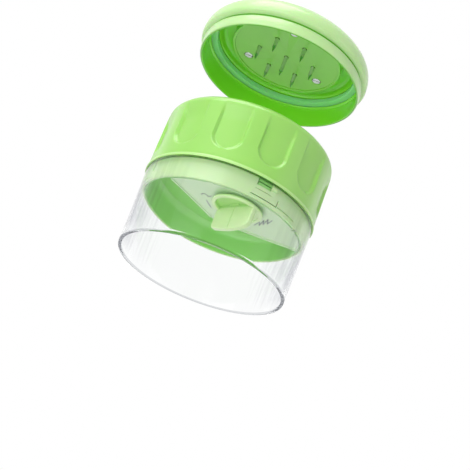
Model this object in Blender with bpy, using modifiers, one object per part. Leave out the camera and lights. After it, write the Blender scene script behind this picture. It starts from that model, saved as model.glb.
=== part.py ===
"""Hand spiralizer: a gripped drum with a helical cutting floor, a push-and-turn cap,
a selector for the comb teeth, and a clear guard ring that it stands on.

Metres, +Z up. The origin is on the drum's axis, on the plane of the guard's lower rim.
The side nearest to the user is -Y. The cap stands lifted off the drum, as in use.
"""
import math

import bmesh
import bpy
from mathutils import Matrix, Vector

# Clearances
GAP = 0.0003              # left between two pieces that touch
PIN_CLEARANCE = 0.0003    # round a pin, screw or post in its hole
SLIDE_CLEARANCE = 0.0005  # beside a piece that slides or turns
COLLAR_CLEARANCE = 0.0007 # between the collar and the guard round it

# Grip drum. Its radius is the size that the round pieces follow.
DRUM_RADIUS = 0.0463
DRUM_HEIGHT = 0.0380
DRUM_WALL = 0.0020
DRUM_FOOT_PROUD = 0.0003  # how far the band at the drum's foot stands proud
DRUM_FOOT_HEIGHT = 0.0012
DRUM_SHOULDER = 0.0050    # radius of the rounded top edge
GRIP_COUNT = 12
GRIP_WIDTH = 0.0157
GRIP_DEPTH = 0.0011
GRIP_END_HEIGHT = 0.0074  # from the drum's lower edge to the end of a grip recess
GRIP_FADE = 0.0095        # a recess fades out in this height under the drum's top
GRIP_PHASE = 255.5        # degrees

# Clear guard ring
GUARD_HEIGHT = 0.0417
GUARD_SET_BACK = 0.0001   # the guard's top lies this far inside the drum's side
GUARD_TAPER = 0.0017      # how much narrower the guard's lower end is
GUARD_WALL = 0.0015
GUARD_BEAD = 0.0004       # how far the bead on the lower rim stands proud

# Feed tube
TUBE_BORE = 0.0305
TUBE_WALL = 0.0016
TUBE_LIP_WIDTH = 0.0040
TUBE_LIP_HEIGHT = 0.0012

# Collar and its snap windows
COLLAR_HEIGHT = 0.0106
COLLAR_WALL = 0.0018
SNAP_COUNT = 3
SNAP_ANGLE = 289.5        # degrees, the window nearest to the user
WINDOW_WIDTH = 0.0083
WINDOW_DEPTH = 0.0042
SLIT_WIDTH = 0.0006
SLIT_HEIGHT = 0.0023      # of the level slit, above the collar's lower edge
SLIT_START = -8.0         # degrees from the window's middle
SLIT_END = 12.0
SLIT_RISE = 0.0036
SEAM_ANGLE = 30.0         # degrees past a window's middle
SEAM_DEPTH = 0.0042

# Cutting floor
CHAMBER_DEPTH = 0.0142    # from the collar's lower edge to the floor's underside
FLOOR_THICKNESS = 0.0020
STRIP_THICKNESS = 0.0032  # fall of the helical ramp in one turn
BLADE_ANGLE = 218.0       # degrees, the radial line of the blade's edge
SKIRT_DEPTH = 0.0083
SKIRT_WALL = 0.0014
SNAP_HOOK_HEIGHT = 0.0024
SNAP_HOOK_REACH = 0.0017
CORE_RADIUS = 0.0045
MOUTH_FRONT = 0.0038      # the mouth's edge on the comb's side of the blade's edge
MOUTH_BACK = 0.0065       # the mouth's edge under the blade
MOUTH_MARGIN = 0.0012     # between the mouth's outer end and the feed tube's bore
RAMP_END_GAP = 3.0        # degrees left between the ramp's low end and the blade's line

# Flat blade
BLADE_WIDTH = 0.0105
BLADE_THICKNESS = 0.0007
BLADE_BEVEL = 0.0020
BLADE_START = 0.0052
BLADE_MARGIN = 0.0021     # between the blade's outer end and the feed tube's bore
RIVET_RADIUS = 0.0012
RIVET_SPACING = 0.0140
CENTRE_PIN_RADIUS = 0.0013
CENTRE_PIN_RISE = 0.0075
CENTRE_PIN_SEAT = 0.0030

# Comb and its carrier, in the frame of the blade's edge
COMB_TEETH = 6
COMB_PITCH = 0.0040
TOOTH_THICKNESS = 0.0005
TOOTH_LENGTH = 0.0020
TOOTH_SHOULDER = 0.4      # share of a tooth's height under its slanting edge
COMB_STRIP_THICKNESS = 0.0005
COMB_DEPTH = 0.0011       # the bar's top lies this far under the ramp's low end
COMB_LIFT_HEIGHT = 0.0036
TIP_DEPTH = 0.0003        # the teeth's tips lie this far under the blade's top
BAR_OFFSET = 0.0008       # from the blade's edge to the bar
BAR_WIDTH = 0.0026
SHELF_THICKNESS = 0.0020
SHELF_WIDTH = 0.0076
ARM_WIDTH = 0.0060
POST_RADIUS = 0.0016
POST_LENGTH = 0.0083
POST_SPACING = 0.0170
POST_OFFSET = 0.0058

# Cover plate
PLATE_THICKNESS = 0.0014
PLATE_EDGE_Y = 0.0010     # the straight edge on the right, along X
PLATE_EDGE_ANGLE = 229.0  # degrees, direction of the straight edge on the left
PLATE_EDGE_OFFSET = 0.0038
PLATE_RIB_HEIGHT = 0.0026
PLATE_RIB_WIDTH = 0.0012
TAB_ANGLES = (255.0, 327.0)
TAB_WIDTH = 0.0032
TAB_REACH = 0.0009

# Selector knob
KNOB_RADIUS = 0.0132
KNOB_OVERHANG = 0.0007    # how far the knob reaches out under the collar's edge
KNOB_ANGLE = 280.9        # degrees
KNOB_HEIGHT = 0.0030
KNOB_RIM = 0.0024
KNOB_SINK = 0.0010
KNOB_EDGE = 0.0005
KNOB_TURN = 97.0          # degrees from the comb raised to the comb lowered
FIN_ANGLE = 130.0         # degrees
FIN_HEIGHT = 0.0145       # from the plate's underside to the crown
FIN_CROWN = 0.0009
FIN_THICKNESS = 0.0030
FIN_CORNER = 0.0040
FIN_BEVEL = 0.0006
FIN_MARGIN = 0.0003      # the fin's ends lie this far inside the knob's edge
STEM_SIDE = 0.0056
STEM_RISE = 0.0075        # above the plate

# Cam hub
HUB_RADIUS = 0.0060
RIB_REACH = 0.0030
RIB_THICKNESS = 0.0016
RIB_MARGIN = 18.0         # degrees past each end of the knob's travel
RIB_DEPTH = 0.0049        # from the floor's underside to the rib at rest
FORK_HALF_WIDTH = 0.0015
FORK_TINE_THICKNESS = 0.0014
PIVOT_RING_WALL = 0.0014
PIVOT_RING_DEPTH = 0.0014
SCREW_RADIUS = 0.0012
SCREW_HEAD_RADIUS = 0.0024
SCREW_HEAD_HEIGHT = 0.0014
SCREW_SLOT = 0.0006

# Cap
CAP_LIFT_HEIGHT = 0.0823  # from the drum's lower edge to the cap's rim, as shown
CAP_OVERHANG = 0.0003     # how far the cap's skirt stands out over the drum's side
CAP_SKIRT_HEIGHT = 0.0064
CAP_WALL = 0.0018
CAP_BULGE = 0.0020        # how far the dome stands out over the skirt
CAP_DOME_HEIGHT = 0.0252  # from the rim to the top
CAP_DOME_SIDE = 0.62      # roundness of the dome's side, 1.0 for an ellipse
CAP_DOME_CROWN = 0.82     # roundness of its crown
CAP_GROOVE = 0.0007
RING_HEIGHT = 0.0029
RING_WIDTH = 0.0041
RING_DEPTH = 0.0133       # from the cap's rim up to the slip ring
RING_BEAD = 0.0009
HOLDER_RADIUS = 0.0318
HOLDER_DEPTH = 0.0152     # from the cap's rim up to the holder's face
HOLDER_THICKNESS = 0.0030
HOLDER_RIM = 0.0008
PRONG_COUNT = 6
PRONG_RADIUS = 0.0011
PRONG_LENGTH = 0.0090
PRONG_CIRCLE_RADIUS = 0.0160
PRONG_SEAT = 0.0015
CENTRE_PRONG_LENGTH = 0.0130
HOLDER_SCREWS = 3
SCREW_CIRCLE_RADIUS = 0.0240
HOLDER_SCREW_PHASE = 30.0 # degrees
BOSS_RADIUS = 0.0036

# Levels and radii that follow from the driving sizes
GUARD_RADIUS_TOP = DRUM_RADIUS - GUARD_SET_BACK
GUARD_RADIUS_LOW = GUARD_RADIUS_TOP - GUARD_TAPER
MOUTH_END = TUBE_BORE - MOUTH_MARGIN
BLADE_END = TUBE_BORE - BLADE_MARGIN
CAP_SKIRT_RADIUS = DRUM_RADIUS + CAP_OVERHANG
CAP_DOME_RADIUS = CAP_SKIRT_RADIUS + CAP_BULGE
DRUM_Z = GUARD_HEIGHT + GAP
DRUM_TOP = DRUM_Z + DRUM_HEIGHT
DRUM_INNER = DRUM_RADIUS - DRUM_WALL
COLLAR_TOP = GUARD_HEIGHT
COLLAR_Z = COLLAR_TOP - COLLAR_HEIGHT
FLOOR_Z = COLLAR_Z + CHAMBER_DEPTH
FLOOR_TOP = FLOOR_Z + FLOOR_THICKNESS
RAMP_TOP = FLOOR_TOP + STRIP_THICKNESS
PLATE_TOP = COLLAR_Z + PLATE_THICKNESS
CAP_Z = DRUM_Z + CAP_LIFT_HEIGHT

# How finely round shapes are divided
DRUM_STEPS = 72
ROUND_STEPS = 60
KNOB_STEPS = 48
RAMP_STEPS = 48
HUB_STEPS = 32
SMALL_STEPS = 20
POST_STEPS = 16
PIN_STEPS = 12


def polar(radius, degrees):
    angle = math.radians(degrees)
    return radius * math.cos(angle), radius * math.sin(angle)


def guard_outer(height):
    """Outer radius of the tapered guard at a height above its rim."""
    share = height / GUARD_HEIGHT
    return GUARD_RADIUS_LOW + (GUARD_RADIUS_TOP - GUARD_RADIUS_LOW) * share


def collar_outer(height):
    return guard_outer(height) - GUARD_WALL - COLLAR_CLEARANCE


COLLAR_BORE = collar_outer(COLLAR_Z) - COLLAR_WALL
SKIRT_RADIUS = COLLAR_BORE - GAP
PLATE_RADIUS = COLLAR_BORE - GAP
KNOB_X, KNOB_Y = polar(PLATE_RADIUS - KNOB_RADIUS + KNOB_OVERHANG, KNOB_ANGLE)

EDGE_FRAME = Matrix.Rotation(math.radians(BLADE_ANGLE), 4, "Z")
KNOB_PLACE = Vector((KNOB_X, KNOB_Y, 0.0))
KNOB_IN_EDGE_FRAME = EDGE_FRAME.inverted() @ KNOB_PLACE


def clear_scene():
    for item in list(bpy.data.objects):
        bpy.data.objects.remove(item, do_unlink=True)
    for group in list(bpy.data.collections):
        bpy.data.collections.remove(group)


def make_collection(name):
    group = bpy.data.collections.new(name)
    bpy.context.scene.collection.children.link(group)
    return group


def make_material(name, colour, roughness, metallic=0.0, alpha=1.0):
    material = bpy.data.materials.new(name)
    material.use_nodes = True
    shader = material.node_tree.nodes["Principled BSDF"]
    shader.inputs["Base Color"].default_value = (*colour, 1.0)
    shader.inputs["Roughness"].default_value = roughness
    shader.inputs["Metallic"].default_value = metallic
    shader.inputs["Alpha"].default_value = alpha
    material.diffuse_color = (*colour, alpha)
    return material


clear_scene()
PARTS = make_collection("hand_spiralizer")
CUTTERS = make_collection("cutters")
GREEN = (0.36, 0.68, 0.16)
PALE_GREEN = (0.58, 0.80, 0.42)
STEEL = (0.62, 0.63, 0.64)


def place(mesh_data, name, material=None):
    """Makes an object of a mesh: a sub-part if it has a material, else a cutter."""
    item = bpy.data.objects.new(name, mesh_data)
    if material is None:
        CUTTERS.objects.link(item)
        item.hide_render = True
        item.display_type = "WIRE"
    else:
        PARTS.objects.link(item)
        mesh_data.materials.append(material)
    return item


def from_bmesh(bm, name, material=None):
    bmesh.ops.recalc_face_normals(bm, faces=bm.faces)
    data = bpy.data.meshes.new(name)
    bm.to_mesh(data)
    bm.free()
    return place(data, name, material)


def turned(name, outline, material=None, steps=ROUND_STEPS):
    """Turns an outline of (radius, height) points about Z. An outline that starts
    and ends on the axis stays open, and any other is closed into a ring."""
    data = bpy.data.meshes.new(name)
    on_axis = outline[0][0] == 0.0 and outline[-1][0] == 0.0
    count = len(outline)
    edges = [(i, i + 1) for i in range(count - 1)]
    if not on_axis:
        edges.append((count - 1, 0))
    data.from_pydata([(radius, 0.0, height) for radius, height in outline], edges, [])
    item = place(data, name, material)
    screw = item.modifiers.new("Turn", "SCREW")
    screw.axis = "Z"
    screw.angle = math.tau
    screw.steps = steps
    screw.render_steps = steps
    screw.use_merge_vertices = True
    screw.merge_threshold = 0.00001
    screw.use_smooth_shade = True
    return item


def rod(name, radius, low, high, material=None, steps=SMALL_STEPS, centre=(0.0, 0.0)):
    bm = bmesh.new()
    middle = Matrix.Translation((centre[0], centre[1], (low + high) / 2))
    bmesh.ops.create_cone(bm, cap_ends=True, segments=steps, radius1=radius,
                          radius2=radius, depth=high - low, matrix=middle)
    return from_bmesh(bm, name, material)


def pin_with_point(name, radius, low, high, point, material, steps=PIN_STEPS):
    """A round pin that hangs from high, with its point at low."""
    outline = [(0.0, high), (radius, high), (radius, low + point), (0.0, low)]
    return turned(name, outline, material, steps)


def block(name, low, high, material=None, frame=None):
    """A box between two corners, in the part's frame or in another one."""
    low = Vector(low)
    high = Vector(high)
    bm = bmesh.new()
    bmesh.ops.create_cube(bm, size=1.0)
    bmesh.ops.scale(bm, vec=high - low, verts=bm.verts)
    bmesh.ops.translate(bm, vec=(low + high) / 2, verts=bm.verts)
    item = from_bmesh(bm, name, material)
    if frame is not None:
        item.matrix_world = frame
    return item


def swept(name, outline, start, end, fall=0.0, steps=12, material=None):
    """Sweeps an (radius, height) outline about Z from one angle to another, in
    degrees, while it falls by a given height."""
    bm = bmesh.new()
    corners = [bm.verts.new((radius, 0.0, height)) for radius, height in outline]
    face = bm.faces.new(corners)
    bmesh.ops.rotate(bm, cent=(0, 0, 0), verts=bm.verts,
                     matrix=Matrix.Rotation(math.radians(start), 3, "Z"))
    bmesh.ops.spin(bm, geom=[face, *face.edges, *face.verts], cent=(0, 0, 0),
                   axis=(0, 0, 1), dvec=(0, 0, -fall / steps),
                   angle=math.radians(end - start), steps=steps, use_duplicate=False)
    return from_bmesh(bm, name, material)


def combine(target, other, operation):
    step = target.modifiers.new(operation.title(), "BOOLEAN")
    step.operation = operation
    step.solver = "EXACT"
    step.object = other


def cut(target, *cutters):
    for cutter in cutters:
        combine(target, cutter, "DIFFERENCE")


def fuse(target, *pieces):
    for piece in pieces:
        combine(target, piece, "UNION")


def turn_frame(degrees):
    return Matrix.Rotation(math.radians(degrees), 4, "Z")


def arc(centre, radius, start, end, count):
    """Points on an arc in the outline's plane, angles in degrees."""
    points = []
    for index in range(count + 1):
        angle = math.radians(start + (end - start) * index / count)
        points.append((centre[0] + radius * math.cos(angle),
                       centre[1] + radius * math.sin(angle)))
    return points


def make_guard(material):
    low = GUARD_RADIUS_LOW
    top = GUARD_RADIUS_TOP
    bead = GUARD_BEAD
    outline = [(top, GUARD_HEIGHT), (low + 3 * bead / 4, 4 * bead), (low + bead, 2 * bead),
               (low + bead / 2, 0.0), (low - GUARD_WALL + bead / 2, 0.0),
               (low - GUARD_WALL, bead), (top - GUARD_WALL, GUARD_HEIGHT)]
    return turned("clear_guard", outline, material)


def grip_cutter(index):
    """A round-ended slot through the drum's wall, kept outside the recess's floor."""
    half = GRIP_WIDTH / 2
    end = DRUM_Z + GRIP_END_HEIGHT
    above = DRUM_TOP + DRUM_SHOULDER
    outline = [(half, above)]
    outline += arc((0.0, end + half), half, 0.0, -180.0, 10)
    outline += [(-half, above)]
    bm = bmesh.new()
    start = DRUM_INNER - DRUM_WALL
    face = bm.faces.new([bm.verts.new((start, y, z)) for y, z in outline])
    pushed = bmesh.ops.extrude_face_region(bm, geom=[face])
    moved = [v for v in pushed["geom"] if isinstance(v, bmesh.types.BMVert)]
    bmesh.ops.translate(bm, vec=(4 * DRUM_WALL, 0, 0), verts=moved)
    item = from_bmesh(bm, "grip_slot_%02d" % (index + 1))
    item.matrix_world = turn_frame(GRIP_PHASE + index * 360.0 / GRIP_COUNT)
    return item


def make_drum(material):
    foot = DRUM_RADIUS + DRUM_FOOT_PROUD
    inner_top = DRUM_TOP - DRUM_WALL
    opening = TUBE_BORE + TUBE_WALL + GAP
    shoulder = arc((DRUM_RADIUS - DRUM_SHOULDER, DRUM_TOP - DRUM_SHOULDER),
                   DRUM_SHOULDER, 90.0, 0.0, 4)
    outline = [(opening, DRUM_TOP)] + shoulder
    outline += [(DRUM_RADIUS, DRUM_Z + DRUM_FOOT_HEIGHT + DRUM_FOOT_PROUD),
                (foot, DRUM_Z + DRUM_FOOT_HEIGHT), (foot, DRUM_Z + DRUM_FOOT_PROUD),
                (foot - DRUM_FOOT_PROUD, DRUM_Z), (DRUM_INNER, DRUM_Z),
                (DRUM_INNER, DRUM_TOP - DRUM_SHOULDER),
                (DRUM_RADIUS - DRUM_SHOULDER, inner_top), (opening, inner_top)]
    drum = turned("grip_drum", outline, material, DRUM_STEPS)
    radius = DRUM_RADIUS - GRIP_DEPTH
    wide = DRUM_RADIUS + GRIP_DEPTH
    bottom = DRUM_Z - GRIP_DEPTH
    top = DRUM_TOP + DRUM_SHOULDER
    core = turned("grip_floor", [(0.0, top), (wide, top), (wide, DRUM_TOP - GRIP_FADE / 4),
                                 (radius, DRUM_TOP - GRIP_FADE), (radius, bottom),
                                 (0.0, bottom)], None, DRUM_STEPS)
    for index in range(GRIP_COUNT):
        slot = grip_cutter(index)
        cut(slot, core)
        cut(drum, slot)
    return drum


def make_feed_tube(material):
    outer = TUBE_BORE + TUBE_WALL
    lip_z = DRUM_TOP + GAP
    lip_top = lip_z + TUBE_LIP_HEIGHT
    foot = FLOOR_TOP + GAP
    outline = [(outer + TUBE_LIP_WIDTH - GAP, lip_top), (outer + TUBE_LIP_WIDTH, lip_top - GAP),
               (outer + TUBE_LIP_WIDTH, lip_z), (outer, lip_z), (outer, foot),
               (TUBE_BORE, foot), (TUBE_BORE, lip_top - GAP), (TUBE_BORE + GAP, lip_top)]
    return turned("feed_tube", outline, material)


def make_collar(material):
    lean = collar_outer(COLLAR_TOP) - collar_outer(COLLAR_Z)
    outline = [(collar_outer(COLLAR_TOP), COLLAR_TOP),
               (collar_outer(COLLAR_Z) + lean * GAP / COLLAR_HEIGHT, COLLAR_Z + GAP),
               (collar_outer(COLLAR_Z) - GAP, COLLAR_Z), (COLLAR_BORE, COLLAR_Z),
               (COLLAR_BORE, COLLAR_TOP)]
    collar = turned("collar", outline, material, DRUM_STEPS)
    inside = COLLAR_BORE - COLLAR_WALL
    outside = GUARD_RADIUS_TOP
    for index in range(SNAP_COUNT):
        middle = SNAP_ANGLE + index * 360.0 / SNAP_COUNT
        window = block("snap_window_%d" % (index + 1),
                       (inside, -WINDOW_WIDTH / 2, COLLAR_TOP - WINDOW_DEPTH),
                       (outside, WINDOW_WIDTH / 2, COLLAR_TOP + COLLAR_WALL),
                       None, turn_frame(middle))
        slit_z = COLLAR_Z + SLIT_HEIGHT
        slit = swept("level_slit_%d" % (index + 1),
                     [(inside, slit_z), (outside, slit_z), (outside, slit_z + SLIT_WIDTH),
                      (inside, slit_z + SLIT_WIDTH)],
                     middle + SLIT_START, middle + SLIT_END, 0.0, 6)
        rise = block("upright_slit_%d" % (index + 1),
                     (inside, -SLIT_WIDTH / 2, slit_z + SLIT_WIDTH / 2),
                     (outside, SLIT_WIDTH / 2, slit_z + SLIT_RISE),
                     None, turn_frame(middle + SLIT_END))
        seam = block("seam_slit_%d" % (index + 1),
                     (inside, -SLIT_WIDTH / 2, COLLAR_TOP - SEAM_DEPTH),
                     (outside, SLIT_WIDTH / 2, COLLAR_TOP + COLLAR_WALL),
                     None, turn_frame(middle + SEAM_ANGLE))
        fuse(slit, rise)
        cut(collar, window, slit, seam)
    for index, angle in enumerate(TAB_ANGLES):
        notch = block("tab_notch_%d" % (index + 1),
                      (inside, -TAB_WIDTH / 2 - GAP, COLLAR_Z - PLATE_THICKNESS),
                      (PLATE_RADIUS + TAB_REACH + GAP, TAB_WIDTH / 2 + GAP, PLATE_TOP + GAP),
                      None, turn_frame(angle))
        cut(collar, notch)
    return collar


def make_cutting_floor(material):
    """The floor with its helical ramp. The ramp is highest at the blade and falls by
    one strip's thickness in a turn, to the front edge of the mouth."""
    outer = DRUM_INNER - GAP
    ramp_outer = TUBE_BORE - SLIDE_CLEARANCE
    skirt_low = FLOOR_Z - SKIRT_DEPTH
    outline = [(outer, FLOOR_TOP), (outer, FLOOR_Z), (SKIRT_RADIUS, FLOOR_Z),
               (SKIRT_RADIUS, skirt_low), (SKIRT_RADIUS - SKIRT_WALL, skirt_low),
               (SKIRT_RADIUS - SKIRT_WALL, FLOOR_Z), (ramp_outer - DRUM_WALL, FLOOR_Z),
               (ramp_outer - DRUM_WALL, FLOOR_TOP)]
    floor = turned("cutting_floor", outline, material)
    ramp_inner = CORE_RADIUS / 2
    sweep = 360.0 - RAMP_END_GAP
    ramp = swept("helical_ramp",
                 [(ramp_inner, RAMP_TOP), (ramp_outer, RAMP_TOP), (ramp_outer, FLOOR_Z),
                  (ramp_inner, FLOOR_Z)],
                 BLADE_ANGLE, BLADE_ANGLE - sweep, STRIP_THICKNESS * sweep / 360.0,
                 RAMP_STEPS)
    below = block("under_the_floor", (-outer, -outer, FLOOR_Z - 2 * STRIP_THICKNESS),
                  (outer, outer, FLOOR_Z))
    cut(ramp, below)
    core = rod("floor_core", CORE_RADIUS, FLOOR_Z, RAMP_TOP)
    mouth = block("mouth", (CORE_RADIUS, -MOUTH_BACK, FLOOR_Z - FLOOR_THICKNESS),
                  (MOUTH_END, MOUTH_FRONT, RAMP_TOP + FLOOR_THICKNESS), None, EDGE_FRAME)
    pocket = block("blade_pocket",
                   (BLADE_START - GAP, -BLADE_WIDTH - GAP, RAMP_TOP - BLADE_THICKNESS - GAP),
                   (BLADE_END + GAP, 0.0, RAMP_TOP + FLOOR_THICKNESS), None, EDGE_FRAME)
    fuse(floor, ramp, core)
    cut(floor, mouth, pocket)
    for index in range(SNAP_COUNT):
        hook_high = COLLAR_TOP - WINDOW_DEPTH + GAP + SNAP_HOOK_HEIGHT
        hook = block("snap_hook_%d" % (index + 1),
                     (SKIRT_RADIUS - SKIRT_WALL / 2, -WINDOW_WIDTH / 2 + GAP,
                      hook_high - SNAP_HOOK_HEIGHT),
                     (SKIRT_RADIUS + SNAP_HOOK_REACH, WINDOW_WIDTH / 2 - GAP, hook_high),
                     None, turn_frame(SNAP_ANGLE + index * 360.0 / SNAP_COUNT))
        fuse(floor, hook)
    for index, along in enumerate(post_places()):
        spot = EDGE_FRAME @ Vector((along, POST_OFFSET, 0.0))
        post = rod("guide_post_%d" % (index + 1), POST_RADIUS, FLOOR_Z - POST_LENGTH,
                   FLOOR_Z + FLOOR_THICKNESS / 2, None, POST_STEPS, (spot.x, spot.y))
        fuse(floor, post)
    ring_inner = HUB_RADIUS + SLIDE_CLEARANCE
    ring = turned("pivot_ring", [(ring_inner + PIVOT_RING_WALL, FLOOR_Z + FLOOR_THICKNESS / 2),
                                 (ring_inner + PIVOT_RING_WALL, FLOOR_Z - PIVOT_RING_DEPTH),
                                 (ring_inner, FLOOR_Z - PIVOT_RING_DEPTH),
                                 (ring_inner, FLOOR_Z + FLOOR_THICKNESS / 2)],
                  None, HUB_STEPS)
    ring.location = KNOB_PLACE
    fuse(floor, ring)
    pin_hole = rod("centre_pin_hole", CENTRE_PIN_RADIUS + PIN_CLEARANCE,
                   RAMP_TOP - CENTRE_PIN_SEAT - PIN_CLEARANCE, RAMP_TOP + FLOOR_THICKNESS,
                   None, POST_STEPS)
    cut(floor, pin_hole)
    for index, spot in enumerate(rivet_places()):
        hole = rod("rivet_hole_%d" % (index + 1), RIVET_RADIUS + PIN_CLEARANCE,
                   FLOOR_Z + FLOOR_THICKNESS / 2, RAMP_TOP + FLOOR_THICKNESS, None,
                   PIN_STEPS, spot)
        cut(floor, hole)
    return floor


def rivet_places():
    """The two rivets near the blade's back edge, in the part's frame."""
    middle = (BLADE_START + BLADE_END) / 2
    across = -(BLADE_WIDTH + MOUTH_BACK) / 2
    places = []
    for side in (-0.5, 0.5):
        spot = EDGE_FRAME @ Vector((middle + side * RIVET_SPACING, across, 0.0))
        places.append((spot.x, spot.y))
    return places


def post_places():
    """How far along the blade's edge the two guide posts stand."""
    middle = (BLADE_START + BLADE_END) / 2
    return middle - POST_SPACING / 2, middle + POST_SPACING / 2


def make_blade(material):
    """A flat strip with one ground bevel, its edge on the blade's line."""
    low = RAMP_TOP - BLADE_THICKNESS
    outline = [(0.0, RAMP_TOP), (-BLADE_WIDTH, RAMP_TOP), (-BLADE_WIDTH, low),
               (-BLADE_BEVEL, low), (0.0, RAMP_TOP - BLADE_THICKNESS / 7)]
    bm = bmesh.new()
    face = bm.faces.new([bm.verts.new((BLADE_START, y, z)) for y, z in outline])
    pushed = bmesh.ops.extrude_face_region(bm, geom=[face])
    moved = [v for v in pushed["geom"] if isinstance(v, bmesh.types.BMVert)]
    bmesh.ops.translate(bm, vec=(BLADE_END - BLADE_START, 0, 0), verts=moved)
    blade = from_bmesh(bm, "flat_blade", material)
    blade.matrix_world = EDGE_FRAME
    for index, spot in enumerate(rivet_places()):
        hole = rod("blade_hole_%d" % (index + 1), RIVET_RADIUS + PIN_CLEARANCE,
                   low - FLOOR_THICKNESS, RAMP_TOP + FLOOR_THICKNESS, None, PIN_STEPS, spot)
        cut(blade, hole)
        rod("blade_rivet_%d" % (index + 1), RIVET_RADIUS,
            FLOOR_Z + FLOOR_THICKNESS / 2 + PIN_CLEARANCE, RAMP_TOP, material, PIN_STEPS,
            spot)
    return blade


def make_centre_pin(material):
    low = RAMP_TOP - CENTRE_PIN_SEAT
    high = RAMP_TOP + CENTRE_PIN_RISE
    point = 2 * CENTRE_PIN_RADIUS
    outline = [(0.0, high), (CENTRE_PIN_RADIUS, high - point), (CENTRE_PIN_RADIUS, low),
               (0.0, low)]
    return turned("centre_pin", outline, material, PIN_STEPS)


def half_plane(name, angle, offset, low, high):
    """A cutter that takes away all on the left of a line through the axis, moved
    sideways to its left by an offset."""
    reach = 3 * PLATE_RADIUS
    return block(name, (-reach, offset, low), (reach, reach, high), None, turn_frame(angle))


def make_cover_plate(material):
    """A sector of a disc between two straight edges, with a rib along each edge."""
    plate = rod("cover_plate", PLATE_RADIUS, COLLAR_Z, PLATE_TOP, material, DRUM_STEPS)
    low = COLLAR_Z - PLATE_THICKNESS
    high = PLATE_TOP + 2 * PLATE_RIB_HEIGHT
    right = half_plane("right_edge", 0.0, PLATE_EDGE_Y, low, high)
    left = half_plane("left_edge", PLATE_EDGE_ANGLE - 180.0, PLATE_EDGE_OFFSET, low, high)
    rib_high = PLATE_TOP + PLATE_RIB_HEIGHT
    rib_low = PLATE_TOP - PLATE_THICKNESS / 2
    inset = PLATE_RIB_WIDTH
    right_rib = block("right_rib", (inset, PLATE_EDGE_Y - inset - PLATE_RIB_WIDTH, rib_low),
                      (SKIRT_RADIUS - SKIRT_WALL - SLIDE_CLEARANCE, PLATE_EDGE_Y - inset, rib_high))
    left_frame = turn_frame(PLATE_EDGE_ANGLE - 180.0)
    reach = -(SKIRT_RADIUS - SKIRT_WALL - SLIDE_CLEARANCE) + inset
    left_rib = block("left_rib", (reach, PLATE_EDGE_OFFSET - inset - PLATE_RIB_WIDTH, rib_low),
                     (-inset, PLATE_EDGE_OFFSET - inset, rib_high), None, left_frame)
    fuse(plate, right_rib, left_rib)
    cut(plate, right, left)
    for index, angle in enumerate(TAB_ANGLES):
        tab = block("snap_tab_%d" % (index + 1),
                    (PLATE_RADIUS - PLATE_THICKNESS, -TAB_WIDTH / 2, COLLAR_Z),
                    (PLATE_RADIUS + TAB_REACH, TAB_WIDTH / 2, PLATE_TOP), None, turn_frame(angle))
        fuse(plate, tab)
    hole = rod("stem_hole", stem_round() + SLIDE_CLEARANCE, low, high, None, SMALL_STEPS,
               (KNOB_X, KNOB_Y))
    cut(plate, hole)
    return plate


def stem_round():
    """Radius of the round part of the knob's stem, just round the square part."""
    return STEM_SIDE / math.sqrt(2.0) + GAP


def fin_outline():
    """The grip fin seen from the side: straight flanks, round corners, crowned foot."""
    half = KNOB_RADIUS - FIN_MARGIN
    top = COLLAR_Z - GAP - KNOB_SINK / 2
    low = COLLAR_Z - FIN_HEIGHT
    side_low = low + FIN_CROWN
    corner = FIN_CORNER
    points = [(half, top)]
    points += arc((half - corner, side_low + corner), corner, 0.0, -75.0, 6)
    points += arc((-half + corner, side_low + corner), corner, -105.0, -180.0, 6)
    points += [(-half, top)]
    crown = len(points) // 2
    points.insert(crown, (0.0, low))
    return points


def make_knob(material):
    """Dish, fin and stem in one moulding. The origin is on the knob's axis."""
    face = COLLAR_Z - GAP
    low = face - KNOB_HEIGHT
    inner = KNOB_RADIUS - KNOB_RIM
    edge = KNOB_EDGE
    stem_top = PLATE_TOP + STEM_RISE
    round_stem = stem_round()
    outline = [(0.0, PLATE_TOP), (round_stem, PLATE_TOP), (round_stem, face),
               (KNOB_RADIUS, face), (KNOB_RADIUS, low + edge), (KNOB_RADIUS - edge, low),
               (inner, low), (inner - edge, low + KNOB_SINK), (0.0, low + KNOB_SINK)]
    knob = turned("selector_knob", outline, material, KNOB_STEPS)
    knob.location = KNOB_PLACE
    bm = bmesh.new()
    verts = [bm.verts.new((x, -FIN_THICKNESS / 2, z)) for x, z in fin_outline()]
    base = bm.faces.new(verts)
    pushed = bmesh.ops.extrude_face_region(bm, geom=[base])
    moved = [v for v in pushed["geom"] if isinstance(v, bmesh.types.BMVert)]
    bmesh.ops.translate(bm, vec=(0, FIN_THICKNESS, 0), verts=moved)
    fin = from_bmesh(bm, "grip_fin")
    soften = fin.modifiers.new("Soften", "BEVEL")
    soften.width = FIN_BEVEL
    soften.segments = 2
    soften.limit_method = "ANGLE"
    fin.matrix_world = Matrix.Translation(KNOB_PLACE) @ turn_frame(FIN_ANGLE)
    half = STEM_SIDE / 2
    stem = block("square_stem", (-half, -half, face - KNOB_HEIGHT / 4), (half, half, stem_top),
                 None, Matrix.Translation(KNOB_PLACE) @ turn_frame(FIN_ANGLE))
    hole = rod("stem_screw_hole", SCREW_RADIUS + PIN_CLEARANCE, PLATE_TOP + STEM_RISE / 4,
               stem_top + KNOB_HEIGHT, None, PIN_STEPS, (KNOB_X, KNOB_Y))
    fuse(knob, fin, stem)
    cut(knob, hole)
    return knob


def hub_top():
    return FLOOR_Z - GAP


def rib_rest_height():
    return FLOOR_Z - RIB_DEPTH


def fork_direction():
    """World angle, in degrees, from the knob's axis towards the blade's edge."""
    return BLADE_ANGLE - 90.0


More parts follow.
